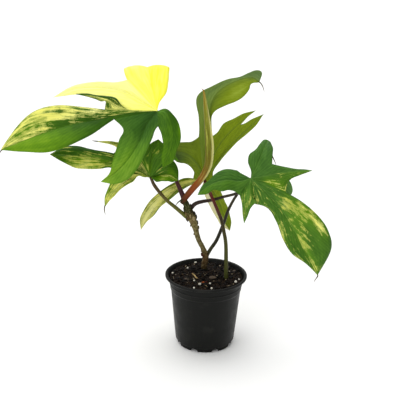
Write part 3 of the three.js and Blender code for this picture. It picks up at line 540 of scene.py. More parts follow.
def rod_frame(line, u):
    """Centre and radius of a rod at each share u of its length, and two directions square to it: side, the
    cross product of across and along, and across, the cross product of along and +Y."""
    thinnest = 0.05
    along = direction(line["points"], u)
    across = unit(np.cross(along, (0, 1, 0)))
    radius = np.maximum(spline(line["radii"], u), thinnest)
    return spline(line["points"], u), radius, np.cross(across, along), across


def waves_round(u, a, along_scale, round_scale, octaves, seed):
    """Layered noise on a rod, by the share along it times one scale and the unit circle times another."""
    place = np.broadcast_arrays(u * along_scale, np.cos(a) * round_scale, np.sin(a) * round_scale)
    return layered_noise(np.stack(place, -1), octaves, seed)


def rod(line, rows, columns, relief=None, spiral=0.0, turn_from=0.0, twist=0.0, stop=1.0):
    """A round rod: centre(u) + r(u, a) (cos b side + sin b across), where b is the angle a plus turn_from
    and the twist times u, in turns. Relief gives an extra radius for each u and a. Spiral makes the radius
    grow by that share over one turn, which leaves a step like the edge of a rolled leaf."""
    u = np.linspace(0, stop, rows)
    centre, radius, side, across = rod_frame(line, u)
    angle = np.linspace(0, TURN, columns, endpoint=False)
    reach = radius[:, None] * (1 + spiral * (angle / TURN - 0.5))
    if relief is not None:
        reach = reach + relief(u[:, None], angle[None, :])
    turned = angle[None, :] + TURN * (turn_from + twist * u[:, None])
    points = centre[:, None] + reach[..., None] * (
        np.cos(turned)[..., None] * side[:, None] + np.sin(turned)[..., None] * across[:, None])
    vertices, faces = capped_grid(points)
    values = {"along": np.append(np.repeat(u, columns), [0, stop]),
              "around": np.append(np.tile(angle / TURN, rows), [0, 0])}
    turned = TURN * values["around"]
    values["skin"] = np.stack([values["along"], np.cos(turned), np.sin(turned)], -1)
    values["tint"] = tones_along(line["tones"], values["along"])
    return vertices, faces, values


def joined(shells):
    """Several shells as one set of vertices, faces and values per vertex."""
    counts = np.cumsum([0] + [len(points) for points, _, _ in shells])
    vertices = np.concatenate([points for points, _, _ in shells])
    faces = [corners + start for start, (_, kinds, _) in zip(counts, shells) for corners in kinds]
    values = {name: np.concatenate([table[name] for _, _, table in shells]) for name in shells[0][2]}
    return vertices, faces, values


def make_piece(name, vertices, faces, values=None, corner_values=None, corner_map=None, sharp_angle=None):
    """A mesh object from whole arrays: vertices in millimetres, face arrays of three or four corners each,
    values on vertices, and values and a map on face corners."""
    mesh = bpy.data.meshes.new(name)
    loops = np.concatenate([corners.ravel() for corners in faces]).astype(np.int32)
    sizes = np.concatenate([np.full(len(corners), corners.shape[1]) for corners in faces])
    mesh.vertices.add(len(vertices))
    mesh.vertices.foreach_set("co", (np.asarray(vertices) * MM).astype(np.float32).ravel())
    mesh.loops.add(len(loops))
    mesh.loops.foreach_set("vertex_index", loops)
    mesh.polygons.add(len(sizes))
    mesh.polygons.foreach_set("loop_start", np.concatenate([[0], np.cumsum(sizes)[:-1]]).astype(np.int32))
    mesh.update(calc_edges=True)
    if mesh.validate():
        raise RuntimeError(f"{name}: the faces had to be mended")
    for domain, table in (("POINT", values or {}), ("CORNER", corner_values or {})):
        for key, numbers in table.items():
            numbers = np.asarray(numbers, np.float32)
            kind, field = ("FLOAT", "value") if numbers.ndim == 1 else ("FLOAT_VECTOR", "vector")
            mesh.attributes.new(key, kind, domain).data.foreach_set(field, numbers.ravel())
    if corner_map is not None:
        mesh.uv_layers.new(name="blade").uv.foreach_set("vector", corner_map.astype(np.float32).ravel())
    mesh.shade_smooth()
    if sharp_angle:
        mesh.set_sharp_from_angle(angle=math.radians(sharp_angle))
    piece = bpy.data.objects.new(name, mesh)
    bpy.context.scene.collection.objects.link(piece)
    return piece


def settle(piece, finish, slot, *nodes):
    """Gives a piece its finish, ties it to the plant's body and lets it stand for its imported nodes."""
    piece.data.materials.append(finish)
    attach(piece, "root")
    if nodes:
        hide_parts(*nodes)


class Number:
    """A number that a node gives, to calculate with like any other."""

    def __init__(self, finish, socket):
        self.finish = finish
        self.socket = socket

    def __add__(self, other):
        return self.finish.math("ADD", self, other)

    def __sub__(self, other):
        return self.finish.math("SUBTRACT", self, other)

    def __mul__(self, other):
        return self.finish.math("MULTIPLY", self, other)

    def __abs__(self):
        return self.finish.math("ABSOLUTE", self)

    def swing(self, strength):
        """Its distance from a half, which is the middle of a noise, times a strength."""
        return (self - 0.5) * strength


class Finish:
    """A node material under construction. Each method adds a node and returns what it gives."""

    def __init__(self, name):
        self.material = bpy.data.materials.new(name)
        self.material.use_nodes = True
        self.tree = self.material.node_tree
        self.tree.nodes.clear()
        self.place = self.add("ShaderNodeTexCoord").outputs["Object"]

    def add(self, kind, inputs=None, **settings):
        """A node with these settings. Each input is linked from a socket or holds a fixed value."""
        node = self.tree.nodes.new(kind)
        for key, value in settings.items():
            setattr(node, key, value)
        for key, value in (inputs or {}).items():
            value = value.socket if isinstance(value, Number) else value
            if isinstance(value, bpy.types.NodeSocket):
                self.tree.links.new(value, node.inputs[key])
            else:
                node.inputs[key].default_value = value
        return node

    def attribute(self, name):
        """A number that the mesh holds."""
        return Number(self, self.add("ShaderNodeAttribute", attribute_name=name).outputs["Fac"])

    def colour_attribute(self, name):
        """Three numbers that the mesh holds, such as a colour or a place."""
        return self.add("ShaderNodeAttribute", attribute_name=name).outputs["Color"]

    def math(self, operation, first, second=0.0):
        """The result of one operation on one or two numbers."""
        node = self.add("ShaderNodeMath", {0: first, 1: second}, operation=operation)
        return Number(self, node.outputs[0])

    def place_of(self, x, y, z=0.0):
        """A place from its coordinates."""
        return self.add("ShaderNodeCombineXYZ", {"X": x, "Y": y, "Z": z}).outputs[0]

    def noise(self, scale, place=None, detail=3.0, roughness=0.5, stretch=None):
        """Layered noise about a half, at a scale for each metre or for each unit of the given place. Stretch
        multiplies the three coordinates first."""
        where = place or self.place
        if stretch:
            where = self.add("ShaderNodeMapping", {"Vector": where, "Scale": stretch}).outputs[0]
        inputs = {"Vector": where, "Scale": scale, "Detail": detail, "Roughness": roughness}
        return Number(self, self.add("ShaderNodeTexNoise", inputs).outputs[0])

    def cells(self, scale):
        """The distance to the nearest of many scattered points, at a scale for each metre."""
        inputs = {"Vector": self.place, "Scale": scale}
        return Number(self, self.add("ShaderNodeTexVoronoi", inputs).outputs["Distance"])

    def rise(self, value, low, high, to_low=0.0, to_high=1.0):
        """A smooth step from one value to another while the input goes from low to high."""
        inputs = {"Value": value, "From Min": low, "From Max": high, "To Min": to_low, "To Max": to_high}
        node = self.add("ShaderNodeMapRange", inputs, interpolation_type="SMOOTHSTEP")
        return Number(self, node.outputs["Result"])

    def mix(self, share, first, second, blend="MIX"):
        """The first colour, and with a growing share the second one or the blend of both."""
        inputs = {0: share, 6: first, 7: second}
        return self.add("ShaderNodeMix", inputs, data_type="RGBA", blend_type=blend).outputs[2]

    def ramp(self, share, stops):
        """Colours at even steps along a share from 0 to 1."""
        node = self.add("ShaderNodeValToRGB", {0: share})
        elements = node.color_ramp.elements
        for _ in range(len(stops) - len(elements)):
            elements.new(0.5)
        for number, colour in enumerate(stops):
            elements[number].position = number / (len(stops) - 1)
            elements[number].color = colour
        return node.outputs[0]

    def bump(self, height, distance, strength=1.0, after=None):
        """The normal of a surface lifted by the height times a distance in metres, on top of another bump."""
        inputs = {"Height": height, "Distance": distance, "Strength": strength}
        if after:
            inputs["Normal"] = after
        return self.add("ShaderNodeBump", inputs).outputs[0]

    def done(self, colour, roughness, normal=None, **fixed):
        """Closes the material. Fixed holds sockets that are the same all over the surface."""
        inputs = {"Base Color": colour, "Roughness": roughness}
        inputs.update({key.replace("_", " "): value for key, value in fixed.items()})
        if normal:
            inputs["Normal"] = normal
        shader = self.add("ShaderNodeBsdfPrincipled", inputs)
        self.add("ShaderNodeOutputMaterial", {"Surface": shader.outputs[0]})
        return self.material


def plastic_finish(settings):
    """Near-black moulded plastic: a fine grain, faint draw lines down the wall, and dust in a few patches."""
    finish = Finish("pot_plastic")
    grain = finish.noise(2600, detail=2)
    lines = finish.noise(420, detail=2, stretch=(1, 1, 0.02))
    dust = finish.rise(finish.noise(46, detail=5, roughness=0.65), 0.5, 0.78)
    colour = finish.mix(dust, settings.plastic, settings.dust)
    roughness = finish.rise(finish.noise(90, detail=3), 0.3, 0.7, 0.36, 0.5)
    normal = finish.bump(grain, 0.00006, after=finish.bump(lines, 0.00012))
    return finish.done(colour, roughness, normal, Specular_IOR_Level=0.12)


def soil_finish(settings):
    """Damp bark and peat: dark grains with brown and near-black patches, wet in places."""
    finish = Finish("potting_mix")
    patches = finish.noise(170, detail=5, roughness=0.7)
    colour = finish.ramp(patches, [settings.wet, settings.peat, settings.bark, settings.fibre])
    colour = finish.mix(finish.rise(finish.cells(900), 0.5, 0.05, 0, 0.6), colour, paint(12, 9, 7))
    roughness = finish.rise(finish.noise(400), 0.35, 0.65, 0.4, 0.9)
    normal = finish.bump(finish.noise(700, detail=6, roughness=0.7), 0.0012)
    return finish.done(colour, roughness, normal, Specular_IOR_Level=0.06)


def crumb_finish():
    """Loose crumbs: each has its own tint, broken up by fine grit, and some are wet enough to shine."""
    finish = Finish("soil_crumb")
    grit = finish.noise(1300, detail=4, roughness=0.7)
    tint = finish.colour_attribute("tint")
    colour = finish.mix(finish.rise(grit, 0.35, 0.65, 0.5, 0), tint, paint(10, 8, 6))
    roughness = finish.rise(finish.noise(160), 0.4, 0.6, 0.3, 0.85)
    return finish.done(colour, roughness, finish.bump(grit, 0.0005), Specular_IOR_Level=0.08)


def tinted_finish(name, mottle, speck, roughness, relief, stretch):
    """A plant skin that takes its main colour from the piece's tint: lengthwise streaks lighten and darken it
    by mottle, small dark specks lie on it, and a fine wrinkling stands on the surface."""
    finish = Finish(name)
    streaks = finish.noise(1, finish.colour_attribute("skin"), detail=5, roughness=0.6, stretch=stretch)
    tint = finish.colour_attribute("tint")
    colour = finish.mix(finish.rise(streaks, 0.45, 0.7, 0, mottle), tint, paint(140, 130, 112), "MULTIPLY")
    colour = finish.mix(finish.rise(streaks, 0.5, 0.3, 0, mottle * 0.3), colour, paint(200, 192, 150))
    specks = finish.rise(finish.cells(420), 0.22, 0.1, 0, speck)
    colour = finish.mix(specks, colour, paint(52, 34, 22))
    fine = finish.noise(1500, detail=4, roughness=0.6)
    normal = finish.bump(fine, 0.0001, after=finish.bump(streaks, relief))
    roughness = finish.rise(fine, 0.3, 0.7, roughness - 0.06, roughness + 0.06)
    return finish.done(colour, roughness, normal, Specular_IOR_Level=0.15)


def sheath_finish():
    """The rolled leaf's skin: its tint with dark and, on the rolled part, pale streaks along it, a pale strip
    where the outer edge lies, partly the edge's cream and partly a painted highlight, and dark flecks."""
    finish = Finish("sheath")
    around, along = finish.attribute("around"), finish.attribute("along")
    streaks = finish.noise(1, finish.place_of(along * 5, around * 9), detail=4, roughness=0.6)
    rolled = finish.rise(along, 0.26, 0.42)
    dark = finish.rise(streaks, 0.5, 0.68, 0, 0.7)
    colour = finish.mix(dark, finish.colour_attribute("tint"), paint(84, 66, 12))
    colour = finish.mix(finish.rise(streaks, 0.5, 0.34, 0, 0.75) * rolled, colour, paint(186, 184, 82))
    # Pale strip down the roll's front right side: partly the cream of the rolled edge, partly a painted
    # highlight
    pale = finish.rise(around, 0.76, 0.84) * rolled * finish.rise(along, 0.9, 0.66, 0, 0.85)
    colour = finish.mix(pale, colour, paint(228, 224, 136))
    flecks = finish.rise(finish.cells(340), 0.2, 0.08, 0, 0.75) * rolled
    colour = finish.mix(flecks, colour, paint(70, 50, 26))
    normal = finish.bump(finish.noise(1500, detail=3), 0.00008, after=finish.bump(streaks, 0.0003))
    return finish.done(colour, finish.rise(streaks, 0.3, 0.7, 0.38, 0.5), normal, Specular_IOR_Level=0.15)


def leaf_streaks(finish, along, spread):
    """Streaks that run along a lobe, between vein and margin, and drift outward: a noise of 8 times the
    share out minus half the way along, drawn out along the lobe."""
    drift = abs(spread) * 8 - along * 0.5
    return finish.noise(1, finish.place_of(drift, along * 0.4, spread), detail=4, roughness=0.6)


def leaf_finish(name, vein_top, settings):
    """A variegated blade. Its map is in centimetres, along the vein and out from it. The tone's cream share
    sets how much of the streaks turns half or wholly cream. Light and cool choose the green from
    two ramps on each side of the blade: light carries painted light and shade as well as the green's own
    lightness, and cool a painted blue-grey sheen as well as a bluish tone. Main and side veins
    are drawn over it."""
    finish = Finish(name)
    place = finish.add("ShaderNodeUVMap", uv_map="blade").outputs[0]
    parts = finish.add("ShaderNodeSeparateXYZ", {0: place}).outputs
    along, away = Number(finish, parts["X"]), abs(Number(finish, parts["Y"]))
    spread = finish.attribute("spread")
    streaks = leaf_streaks(finish, along, spread)
    blotches = finish.noise(0.9, place, detail=2)
    flecks = finish.noise(6, place, detail=4, roughness=0.7)
    level = finish.attribute("cream") + streaks.swing(2.3) + blotches.swing(1.0) + flecks.swing(0.7)
    half_cream = finish.rise(level, 0.32, 0.5)
    full_cream = finish.rise(level, 0.54, 0.84)

    side_vein = along - away * settings.vein_slant + finish.noise(0.8, place) * 0.5
    wave = finish.math("COSINE", side_vein * (TURN * MAP_UNIT * MM / settings.vein_spacing))
    fine_wave = finish.noise(1, finish.place_of(side_vein * 9, away), detail=2)
    stripes = finish.noise(1, finish.place_of(spread * 7, along * 0.12), detail=2)
    # light: the green's own lightness with painted light and shade on it
    light = finish.attribute("light") + wave * 0.03 + fine_wave.swing(0.16) + stripes.swing(0.45)
    light = light + blotches.swing(0.3)
    yellow = finish.attribute("yellow") + streaks.swing(0.35)
    # cool: a bluish tone with a painted blue-grey sheen
    cool, under = finish.attribute("cool"), finish.attribute("under")

    warm_green = finish.ramp(light, [settings.deep_green, settings.leaf_green, settings.bright_green,
                                     settings.pale_green])
    green = finish.mix(cool, warm_green, finish.ramp(light, paints(COOL_AND_SHEEN_GREENS)))
    cream = finish.ramp(yellow, [settings.pale_cream, settings.gold, settings.light_yellow, settings.yellow])
    cream = finish.mix(finish.rise(fine_wave, 0.55, 0.8, 0, 0.12), cream, paint(196, 190, 84))
    cream = finish.mix(finish.rise(streaks, 0.52, 0.7, 0, 0.35), cream, paint(238, 228, 80))
    upper = finish.mix(full_cream, finish.mix(half_cream, green, finish.mix(0.45, green, cream)), cream)

    warm_under = finish.ramp(light, paints(UNDER_GREENS))
    under_green = finish.mix(cool, warm_under, finish.ramp(light, paints(COOL_AND_SHEEN_UNDER_GREENS)))
    under_cream = finish.mix(0.1, cream, paint(226, 218, 150))
    under_half = finish.mix(half_cream, under_green, finish.mix(0.5, under_green, under_cream))
    colour = finish.mix(under, upper, finish.mix(full_cream, under_half, under_cream))

    vein_colour = finish.mix(under, paint(*vein_top), paint(*VEIN_UNDER))
    vein = finish.rise(away, 0.1, 0.02, 0, 0.45) * finish.rise(full_cream, 0.2, 0.9, 1, 0.15)
    colour = finish.mix(vein, colour, vein_colour)
    side_line = finish.rise(wave, 0.9, 1, 0, 0.04) * finish.rise(full_cream, 0, 1, 1, 0.1)
    colour = finish.mix(side_line, colour, vein_colour)

    roughness = finish.rise(finish.noise(300, detail=2), 0.3, 0.7, 0.34, 0.46) + under * 0.16
    normal = finish.bump(wave, 0.00005, after=finish.bump(finish.noise(900, detail=3), 0.00002))
    return finish.done(colour, roughness, normal, Specular_IOR_Level=0.07)


def grain_finish():
    """Perlite: chalky white with small dark pits and a little soil on it."""
    finish = Finish("perlite")
    pits = finish.rise(finish.cells(1500), 0.3, 0.12)
    dirt = finish.rise(finish.noise(420, detail=5, roughness=0.7), 0.5, 0.72)
    colour = finish.mix(dirt, paint(226, 222, 208), paint(150, 136, 110))
    colour = finish.mix(pits, colour, paint(130, 122, 106))
    return finish.done(colour, finish.rise(dirt, 0, 1, 0.9, 0.8), finish.bump(pits, 0.0003, strength=0.8))


def bark_finish():
    """A dry chip of bark: fibres along it, from dark to pale brown."""
    finish = Finish("bark_chip")
    fibres = finish.noise(260, detail=6, roughness=0.7, stretch=(1, 0.3, 1))
    colour = finish.ramp(fibres, paints([(26, 20, 14), (48, 38, 28), (84, 68, 50), (116, 98, 74)]))
    return finish.done(colour, finish.rise(fibres, 0.3, 0.7, 0.7, 0.95), finish.bump(fibres, 0.0006))


def floor_finish():
    """A plain white floor, with a hardly visible cloudiness."""
    finish = Finish("studio_floor")
    cloud = finish.noise(3, detail=2)
    colour = finish.mix(cloud, paint(243, 243, 242), paint(246, 246, 245))
    return finish.done(colour, finish.rise(cloud, 0, 1, 0.8, 0.9), Specular_IOR_Level=0.1)


def rounded_profile(corners, radius, steps=5):
    """Each inner corner b of an open outline becomes the curve (1-t)^2 a + 2t(1-t) b + t^2 c, where a and c
    lie on its two sides, at most the radius and 45% of the side away."""
    most = 0.45
    corners = np.array(corners, float)
    middle = corners[1:-1]
    before, after = corners[:-2] - middle, corners[2:] - middle
    ease = [np.minimum(radius / np.linalg.norm(side, axis=1), most)[:, None] for side in (before, after)]
    start = (middle + before * ease[0])[:, None]
    end = (middle + after * ease[1])[:, None]
    t = np.linspace(0, 1, steps)[None, :, None]
    curve = (1 - t) ** 2 * start + 2 * t * (1 - t) * middle[:, None] + t**2 * end
    return np.concatenate([corners[:1], curve.reshape(-1, 2), corners[-1:]])


def turned_rows(profile, columns):
    """Rows of points from turning an outline of radius and height about Z."""
    smallest = 0.01
    angle = np.linspace(0, TURN, columns, endpoint=False)
    radius = np.maximum(profile[:, :1], smallest)
    height = np.repeat(profile[:, 1:], columns, axis=1)
    return np.stack([radius * np.cos(angle), radius * np.sin(angle), height], -1)


def build_pot(settings):
    """The moulded pot: a rounded outline turned about Z. Where a drain slot is, the foot's underside rises to
    the slot's height, by smooth steps of the distance from the slot's sides and its inner end, and the floor
    above it rises by its thickness more."""
    edge_outside, edge_inside, edge_inward = 0.8, 1.2, 1.5
    floor_thickness = 1.4
    rows = turned_rows(rounded_profile(POT_PROFILE, settings.corner_radius / MM), settings.sides)
    radius = np.hypot(rows[..., 0], rows[..., 1])
    angle = np.arctan2(rows[..., 1], rows[..., 0])
    slot_turn = TURN / DRAIN_SLOTS["count"]
    from_slot = np.abs((angle % slot_turn) - slot_turn / 2) * radius
    half_slot = DRAIN_SLOTS["width"] / 2
    lift = DRAIN_SLOTS["height"] * smooth_rise(from_slot, half_slot + edge_outside, half_slot - edge_inside)
    inside = np.arange(len(rows))[:, None] > len(rows) / 2
    lift = lift + inside * floor_thickness * (lift > 0)
    lift = lift * smooth_rise(radius, DRAIN_SLOTS["inner_radius"] - edge_inward, DRAIN_SLOTS["inner_radius"])
    rows[..., 2] = np.maximum(rows[..., 2], lift)
    piece = make_piece("pot_moulded", *capped_grid(rows), sharp_angle=35)
    settle(piece, plastic_finish(settings), "pot_plastic", "pot")


def soil_height(radius):
    """The mound of soil: its edge height plus a quarter wave of a cosine from the middle to the edge."""
    share = np.minimum(radius / SOIL_PROFILE[-1][0], 1)
    return SOIL_EDGE_HEIGHT + SOIL_MOUND * np.cos(share * math.pi / 2)


def pebbles(centres, sizes, stretch, lean, colours, seed):
    """Rough lumps: each is an icosahedron whose corners are moved by chance, stretched by its own three
    factors, turned about Z by chance, tipped about X by a random angle that spreads by lean, and put at its
    centre. Its faces are the sets of three corners with less than 1.2 radii between each two."""
    neighbour, rough = 1.2, 0.25
    chance = np.random.default_rng(seed)
    golden = (1 + math.sqrt(5)) / 2
    signs = np.array([(a, b) for a in (-1, 1) for b in (-golden, golden)], float)
    flat = np.insert(signs, 0, 0, axis=1)
    corners = unit(np.concatenate([flat, np.roll(flat, 1, axis=1), np.roll(flat, 2, axis=1)]))
    near = np.linalg.norm(corners[:, None] - corners[None], axis=-1) < neighbour
    faces = np.array([(a, b, c) for a, b, c in itertools.combinations(range(len(corners)), 3)
                      if near[a, b] and near[b, c] and near[a, c]])
    a, b, c = (corners[faces[:, corner]] for corner in range(3))
    wrong = (np.cross(b - a, c - a) * a).sum(-1) < 0
    faces[wrong] = faces[wrong][:, ::-1]
    count = len(centres)
    spin, tip = TURN * chance.random(count), lean * chance.normal(size=count)
    zero, one = np.zeros(count), np.ones(count)
    sin_spin, cos_spin, sin_tip, cos_tip = np.sin(spin), np.cos(spin), np.sin(tip), np.cos(tip)
    about_z = np.array([[cos_spin, -sin_spin, zero], [sin_spin, cos_spin, zero], [zero, zero, one]])
    about_x = np.array([[one, zero, zero], [zero, cos_tip, -sin_tip], [zero, sin_tip, cos_tip]])
    turn = np.einsum("ijn,jkn->nik", about_z, about_x)
    moved = 1 + chance.uniform(-rough, rough, (count, len(corners), 1))
    lumps = corners[None] * moved * stretch[:, None]
    lumps = np.einsum("nij,nkj->nki", turn, lumps) * (sizes / 2)[:, None, None] + centres[:, None]
    all_faces = (faces[None] + len(corners) * np.arange(count)[:, None, None]).reshape(-1, 3)
    return lumps.reshape(-1, 3), [all_faces], {"tint": np.repeat(colours, len(corners), axis=0)}


def build_soil(settings):
    """The potting mix: its outline turned about Z. Layered noise lifts its top, and not its wall."""
    rings, columns, grain = 60, 180, 0.28
    smooth_below, rough_above = 0.5, 0.2
    edge_radius, edge_height = SOIL_PROFILE[-1]
    inward = np.linspace(1, 0, rings)[1:]
    top = np.stack([edge_radius * inward, soil_height(edge_radius * inward)], -1)
    rows = turned_rows(np.concatenate([SOIL_PROFILE, top]), columns)
    lumpy = smooth_rise(rows[..., 2], edge_height - smooth_below, edge_height + rough_above)
    rows[..., 2] += lumpy * settings.roughness / MM * layered_noise(rows * grain, octaves=4)
    settle(make_piece("soil_surface", *capped_grid(rows)), soil_finish(settings), "potting_mix", "soil")


def build_crumbs(settings):
    """Loose crumbs and splinters on the soil, spread evenly by the square root of a random share of the
    radius: most of them small and dark, and the light ones smaller still. The coloured bits that the
    photograph shows lie at their own places."""
    from_wall = 1
    slender, plump = (1.9, 0.6, 0.4), (1.1, 1, 0.7)
    slender_share, darkness, rarity = 0.25, 2.2, 2.5
    chance = np.random.default_rng(21)
    count = settings.crumbs
    radius = (SOIL_PROFILE[-1][0] - from_wall) * np.sqrt(chance.random(count))
    angle = TURN * chance.random(count)
    height = soil_height(radius) + chance.uniform(-0.2, 1.0, count)
    tone = chance.random(count) ** darkness
    sizes = (1 + 3.2 * chance.random(count) ** rarity) * (1.1 - 0.55 * tone)
    slivers = chance.random(count)[:, None] < slender_share
    stretch = np.where(slivers, slender, plump) * chance.uniform(0.7, 1.3, (count, 3))
    centres = np.stack([radius * np.cos(angle), radius * np.sin(angle), height], -1)
    colours = tones_along(CRUMB_TONES, tone)
    crumbs = pebbles(centres, sizes, stretch, lean=0.5, colours=colours, seed=4)

    x, y, length, breadth = np.array([row[:4] for row in SOIL_BITS]).T
    centres = np.stack([x, y, soil_height(np.hypot(x, y)) + 1], -1)
    stretch = np.stack([np.ones(len(x)), breadth / length, breadth / length], -1)
    colours = np.array(paints(row[4] for row in SOIL_BITS))[:, :3]
    bits = pebbles(centres, length, stretch, lean=0.2, colours=colours, seed=9)
    settle(make_piece("soil_crumbs", *joined([crumbs, bits]), sharp_angle=30), crumb_finish(), "potting_mix")


def rough_ball(rows, boxiness, rough, seed):
    """A lump of unit radius: the sphere's three coordinates, each raised to 2 / boxiness with its sign kept,
    and pushed in and out by layered noise."""
    grain = 1.6
    latitude = np.linspace(-math.pi / 2, math.pi / 2, rows)[1:-1, None]
    angle = np.linspace(0, TURN, rows * 2, endpoint=False)
    ball = np.stack(np.broadcast_arrays(np.cos(latitude) * np.cos(angle), np.cos(latitude) * np.sin(angle),
                                        np.sin(latitude)), -1)
    ball = np.sign(ball) * np.abs(ball) ** (2 / boxiness)
    return ball * (1 - rough + rough * layered_noise(ball * grain, 3, seed))[..., None]


def build_grains(settings):
    """Perlite grains and bark chips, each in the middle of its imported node's box, and the twig."""
    chip_shape, chip_tilt = np.array([0.55, 0.34, 0.12]), 0.2
    perlite, bark = grain_finish(), bark_finish()
    for number, node in enumerate(sorted(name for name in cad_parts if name.startswith("perlite_"))):
        low, high = (np.array(corner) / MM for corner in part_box(node))
        ball = rough_ball(settings.grain_rows, boxiness=2.4, rough=0.16, seed=number)
        name = node.replace("perlite", "grain")
        piece = make_piece(name, *capped_grid((low + high) / 2 + ball * (high - low) / 2))
        settle(piece, perlite, "perlite", node)
    for number, (node, (length, degrees)) in enumerate(CHIPS.items()):
        low, high = (np.array(corner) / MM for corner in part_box(node))
        ball = rough_ball(settings.grain_rows, boxiness=4, rough=0.3, seed=number + 20) * length * chip_shape
        turn = np.array(Matrix.Rotation(math.radians(degrees), 3, "Z") @ Matrix.Rotation(chip_tilt, 3, "X"))
        name = node.replace("bark_chip", "chip")
        piece = make_piece(name, *capped_grid((low + high) / 2 + ball @ turn.T), sharp_angle=40)
        settle(piece, bark, "bark_chip", node)
    twig = rod(TWIG, rows=24, columns=12, relief=lambda u, a: 2 * skin_relief(u, a))
    wood = tinted_finish("twig_wood", mottle=0.5, speck=0.3, roughness=0.8, relief=0.0003, stretch=(8, 2, 2))
    settle(make_piece("twig_stick", *twig), wood, "twig_wood", "twig")


def bark_relief(u, a):
    """Bark: ridges that run up the stem, from noise drawn out along it, and rings where old leaves sat."""
    ring_width, ring_swing, ridge_height = 0.008, 0.3, 0.3
    rings = sum(height * np.exp(-(((u - place) / ring_width) ** 2)) for place, height in STEM_RINGS)
    ridges = ridge_height * waves_round(u, a, along_scale=26, round_scale=3.2, octaves=3, seed=5)
    return ridges + rings * (1 + ring_swing * np.cos(2 * a))


def skin_relief(u, a):
    """Fine lengthwise furrows of a green stalk, from noise drawn out along it."""
    furrow_depth = 0.07
    return furrow_depth * waves_round(u, a, along_scale=9, round_scale=4, octaves=2, seed=8)


def roll_relief(u, a):
    """The rolled part of the new leaf: a raised outer edge at the end of the turn and a groove just past it,
    each a height times exp(-d^2), where d is the angle from it in shares of its width."""
    edge_height, edge_width, groove_depth, groove_width = 0.5, 0.35, 0.35, 0.3
    rolled = smooth_rise(u, 0.3, 0.45) * (1 - smooth_rise(u, 0.9, 1))
    edge = edge_height * np.exp(-(((a - TURN + edge_width) / edge_width) ** 2))
    groove = groove_depth * np.exp(-((a / groove_width) ** 2))
    return rolled * (edge - groove) + skin_relief(u, a)


def build_stem(settings):
    """The main stem with its bud, the dry scraps on it and the two aerial roots."""
    stem = rod(STEM, settings.rows * 2, settings.columns, relief=bark_relief)
    bud = rod(BUD, rows=14, columns=settings.columns, relief=skin_relief)
    bark = tinted_finish("bark_stem", mottle=0.9, speck=0.6, roughness=0.75, relief=0.0008,
                         stretch=(40, 2, 2))
    settle(make_piece("stem_bark", *joined([stem, bud])), bark, "bark_stem", "main_stem")

    scrap_shape, proud = (0.55, 0.3, 1.1), 0.3
    share, degrees, sizes = np.array([row[:3] for row in STEM_SCRAPS]).T
    colours = np.array(paints(row[3] for row in STEM_SCRAPS))[:, :3]
    centre, radius, side, across = rod_frame(STEM, share)
    turned = np.radians(degrees)[:, None]
    centres = centre + (radius[:, None] + proud) * (np.cos(turned) * side + np.sin(turned) * across)
    stretch = np.tile(scrap_shape, (len(sizes), 1))
    scraps = pebbles(centres, sizes, stretch, lean=0.25, colours=colours, seed=12)
    settle(make_piece("stem_scraps", *scraps, sharp_angle=30), crumb_finish(), "bark_stem")

    root = tinted_finish("root", mottle=0.5, speck=0.3, roughness=0.8, relief=0.0003, stretch=(10, 1.5, 1.5))
    for word, line in AERIAL_ROOTS.items():
        piece = make_piece(f"root_{word}", *rod(line, rows=24, columns=12, relief=skin_relief))
        settle(piece, root, "root", f"aerial_root_{word}")


def build_stalks(settings):
    """The five leaf stalks, each swollen where it leaves the stem and at the bend below its blade."""
    finish = tinted_finish("stalk_skin", mottle=0.35, speck=0.25, roughness=0.42, relief=0.0001,
                           stretch=(9, 2, 2))
    for word, line in STALKS.items():
        shell = rod(line, settings.rows, settings.columns, relief=skin_relief, stop=STALK_SHARE)
        settle(make_piece(f"stalk_{word}", *shell), finish, line["slot"], f"petiole_{word}")


def build_new_leaf(settings):
    """The rolled new leaf: a tapering rod whose radius grows over one turn, so the outer edge of the roll
    stands proud in a seam that winds slowly round it."""
    shell = rod(NEW_LEAF, settings.rows * 2, settings.columns * 2, relief=roll_relief, spiral=0.1,
                turn_from=0.74, twist=0.12)
    settle(make_piece("new_leaf_roll", *shell), sheath_finish(), "sheath", "new_leaf_sheath")


def vein_frame(leaf, lobe, u):
    """Points of a lobe's vein, the way the blade faces there and the way to its left. The facing goes
    straight from the one at the base to the one at the tip, less its part along the vein."""
    line = [leaf["junction"], *lobe["vein"]]
    along = direction(line, u)
    base, tip = np.array(lobe["face"], float)
    facing = base + (tip - base) * u[:, None]
    facing = unit(facing - (facing * along).sum(-1, keepdims=True) * along)
    return spline(line, u), facing, np.cross(facing, along)


def lobe_margin(leaf, number, side, u, vein, sideways):
    """The margin of half a lobe, the number of rows that it shares and the gap they lie at. The margin is
    the half width sideways of the vein. Up to the sinus it is the straight line from the junction, and after
    it the step to the sinus fades by the cube of the way left."""
    narrowest, twelfths = 0.05, 12
    width = np.maximum(spline([0, *leaf["lobes"][number][side], 0], u), narrowest)
    margin = vein + (width if side == "left" else -width)[:, None] * sideways
    gap = number if side == "right" else number - 1
    shared_rows = 0
    if gap >= 0 and "sinus" in leaf["lobes"][gap]:
        start = leaf["lobes"][gap]["reach"] / twelfths
        shared_rows = round(start * (len(u) - 1))
        sinus, junction = np.array(leaf["lobes"][gap]["sinus"], float), np.array(leaf["junction"], float)
        fade = ((1 - u) / (1 - start)) ** 3
        margin = margin + fade[:, None] * (sinus - margin[shared_rows])
        line = junction + (sinus - junction) * (u / start)[:, None]
        margin[:shared_rows + 1] = line[:shared_rows + 1]
    margin[-1] = vein[-1]
    return margin, shared_rows, gap


def lobe_faces(place, side):
    """The faces of half a lobe's grid: quads, and triangles where its rows shrink to the junction or tip."""
    low, high = place[1:-2], place[2:-1]
    quads = np.stack([low[:, :-1], low[:, 1:], high[:, 1:], high[:, :-1]], -1).reshape(-1, 4)
    base = np.stack([place[0, :-1], place[1, 1:], place[1, :-1]], -1)
    end = np.stack([place[-1, :-1], place[-2, :-1], place[-2, 1:]], -1)
    faces = [quads, np.concatenate([base, end])]
    return [corners[:, ::-1] for corners in faces] if side == "left" else faces


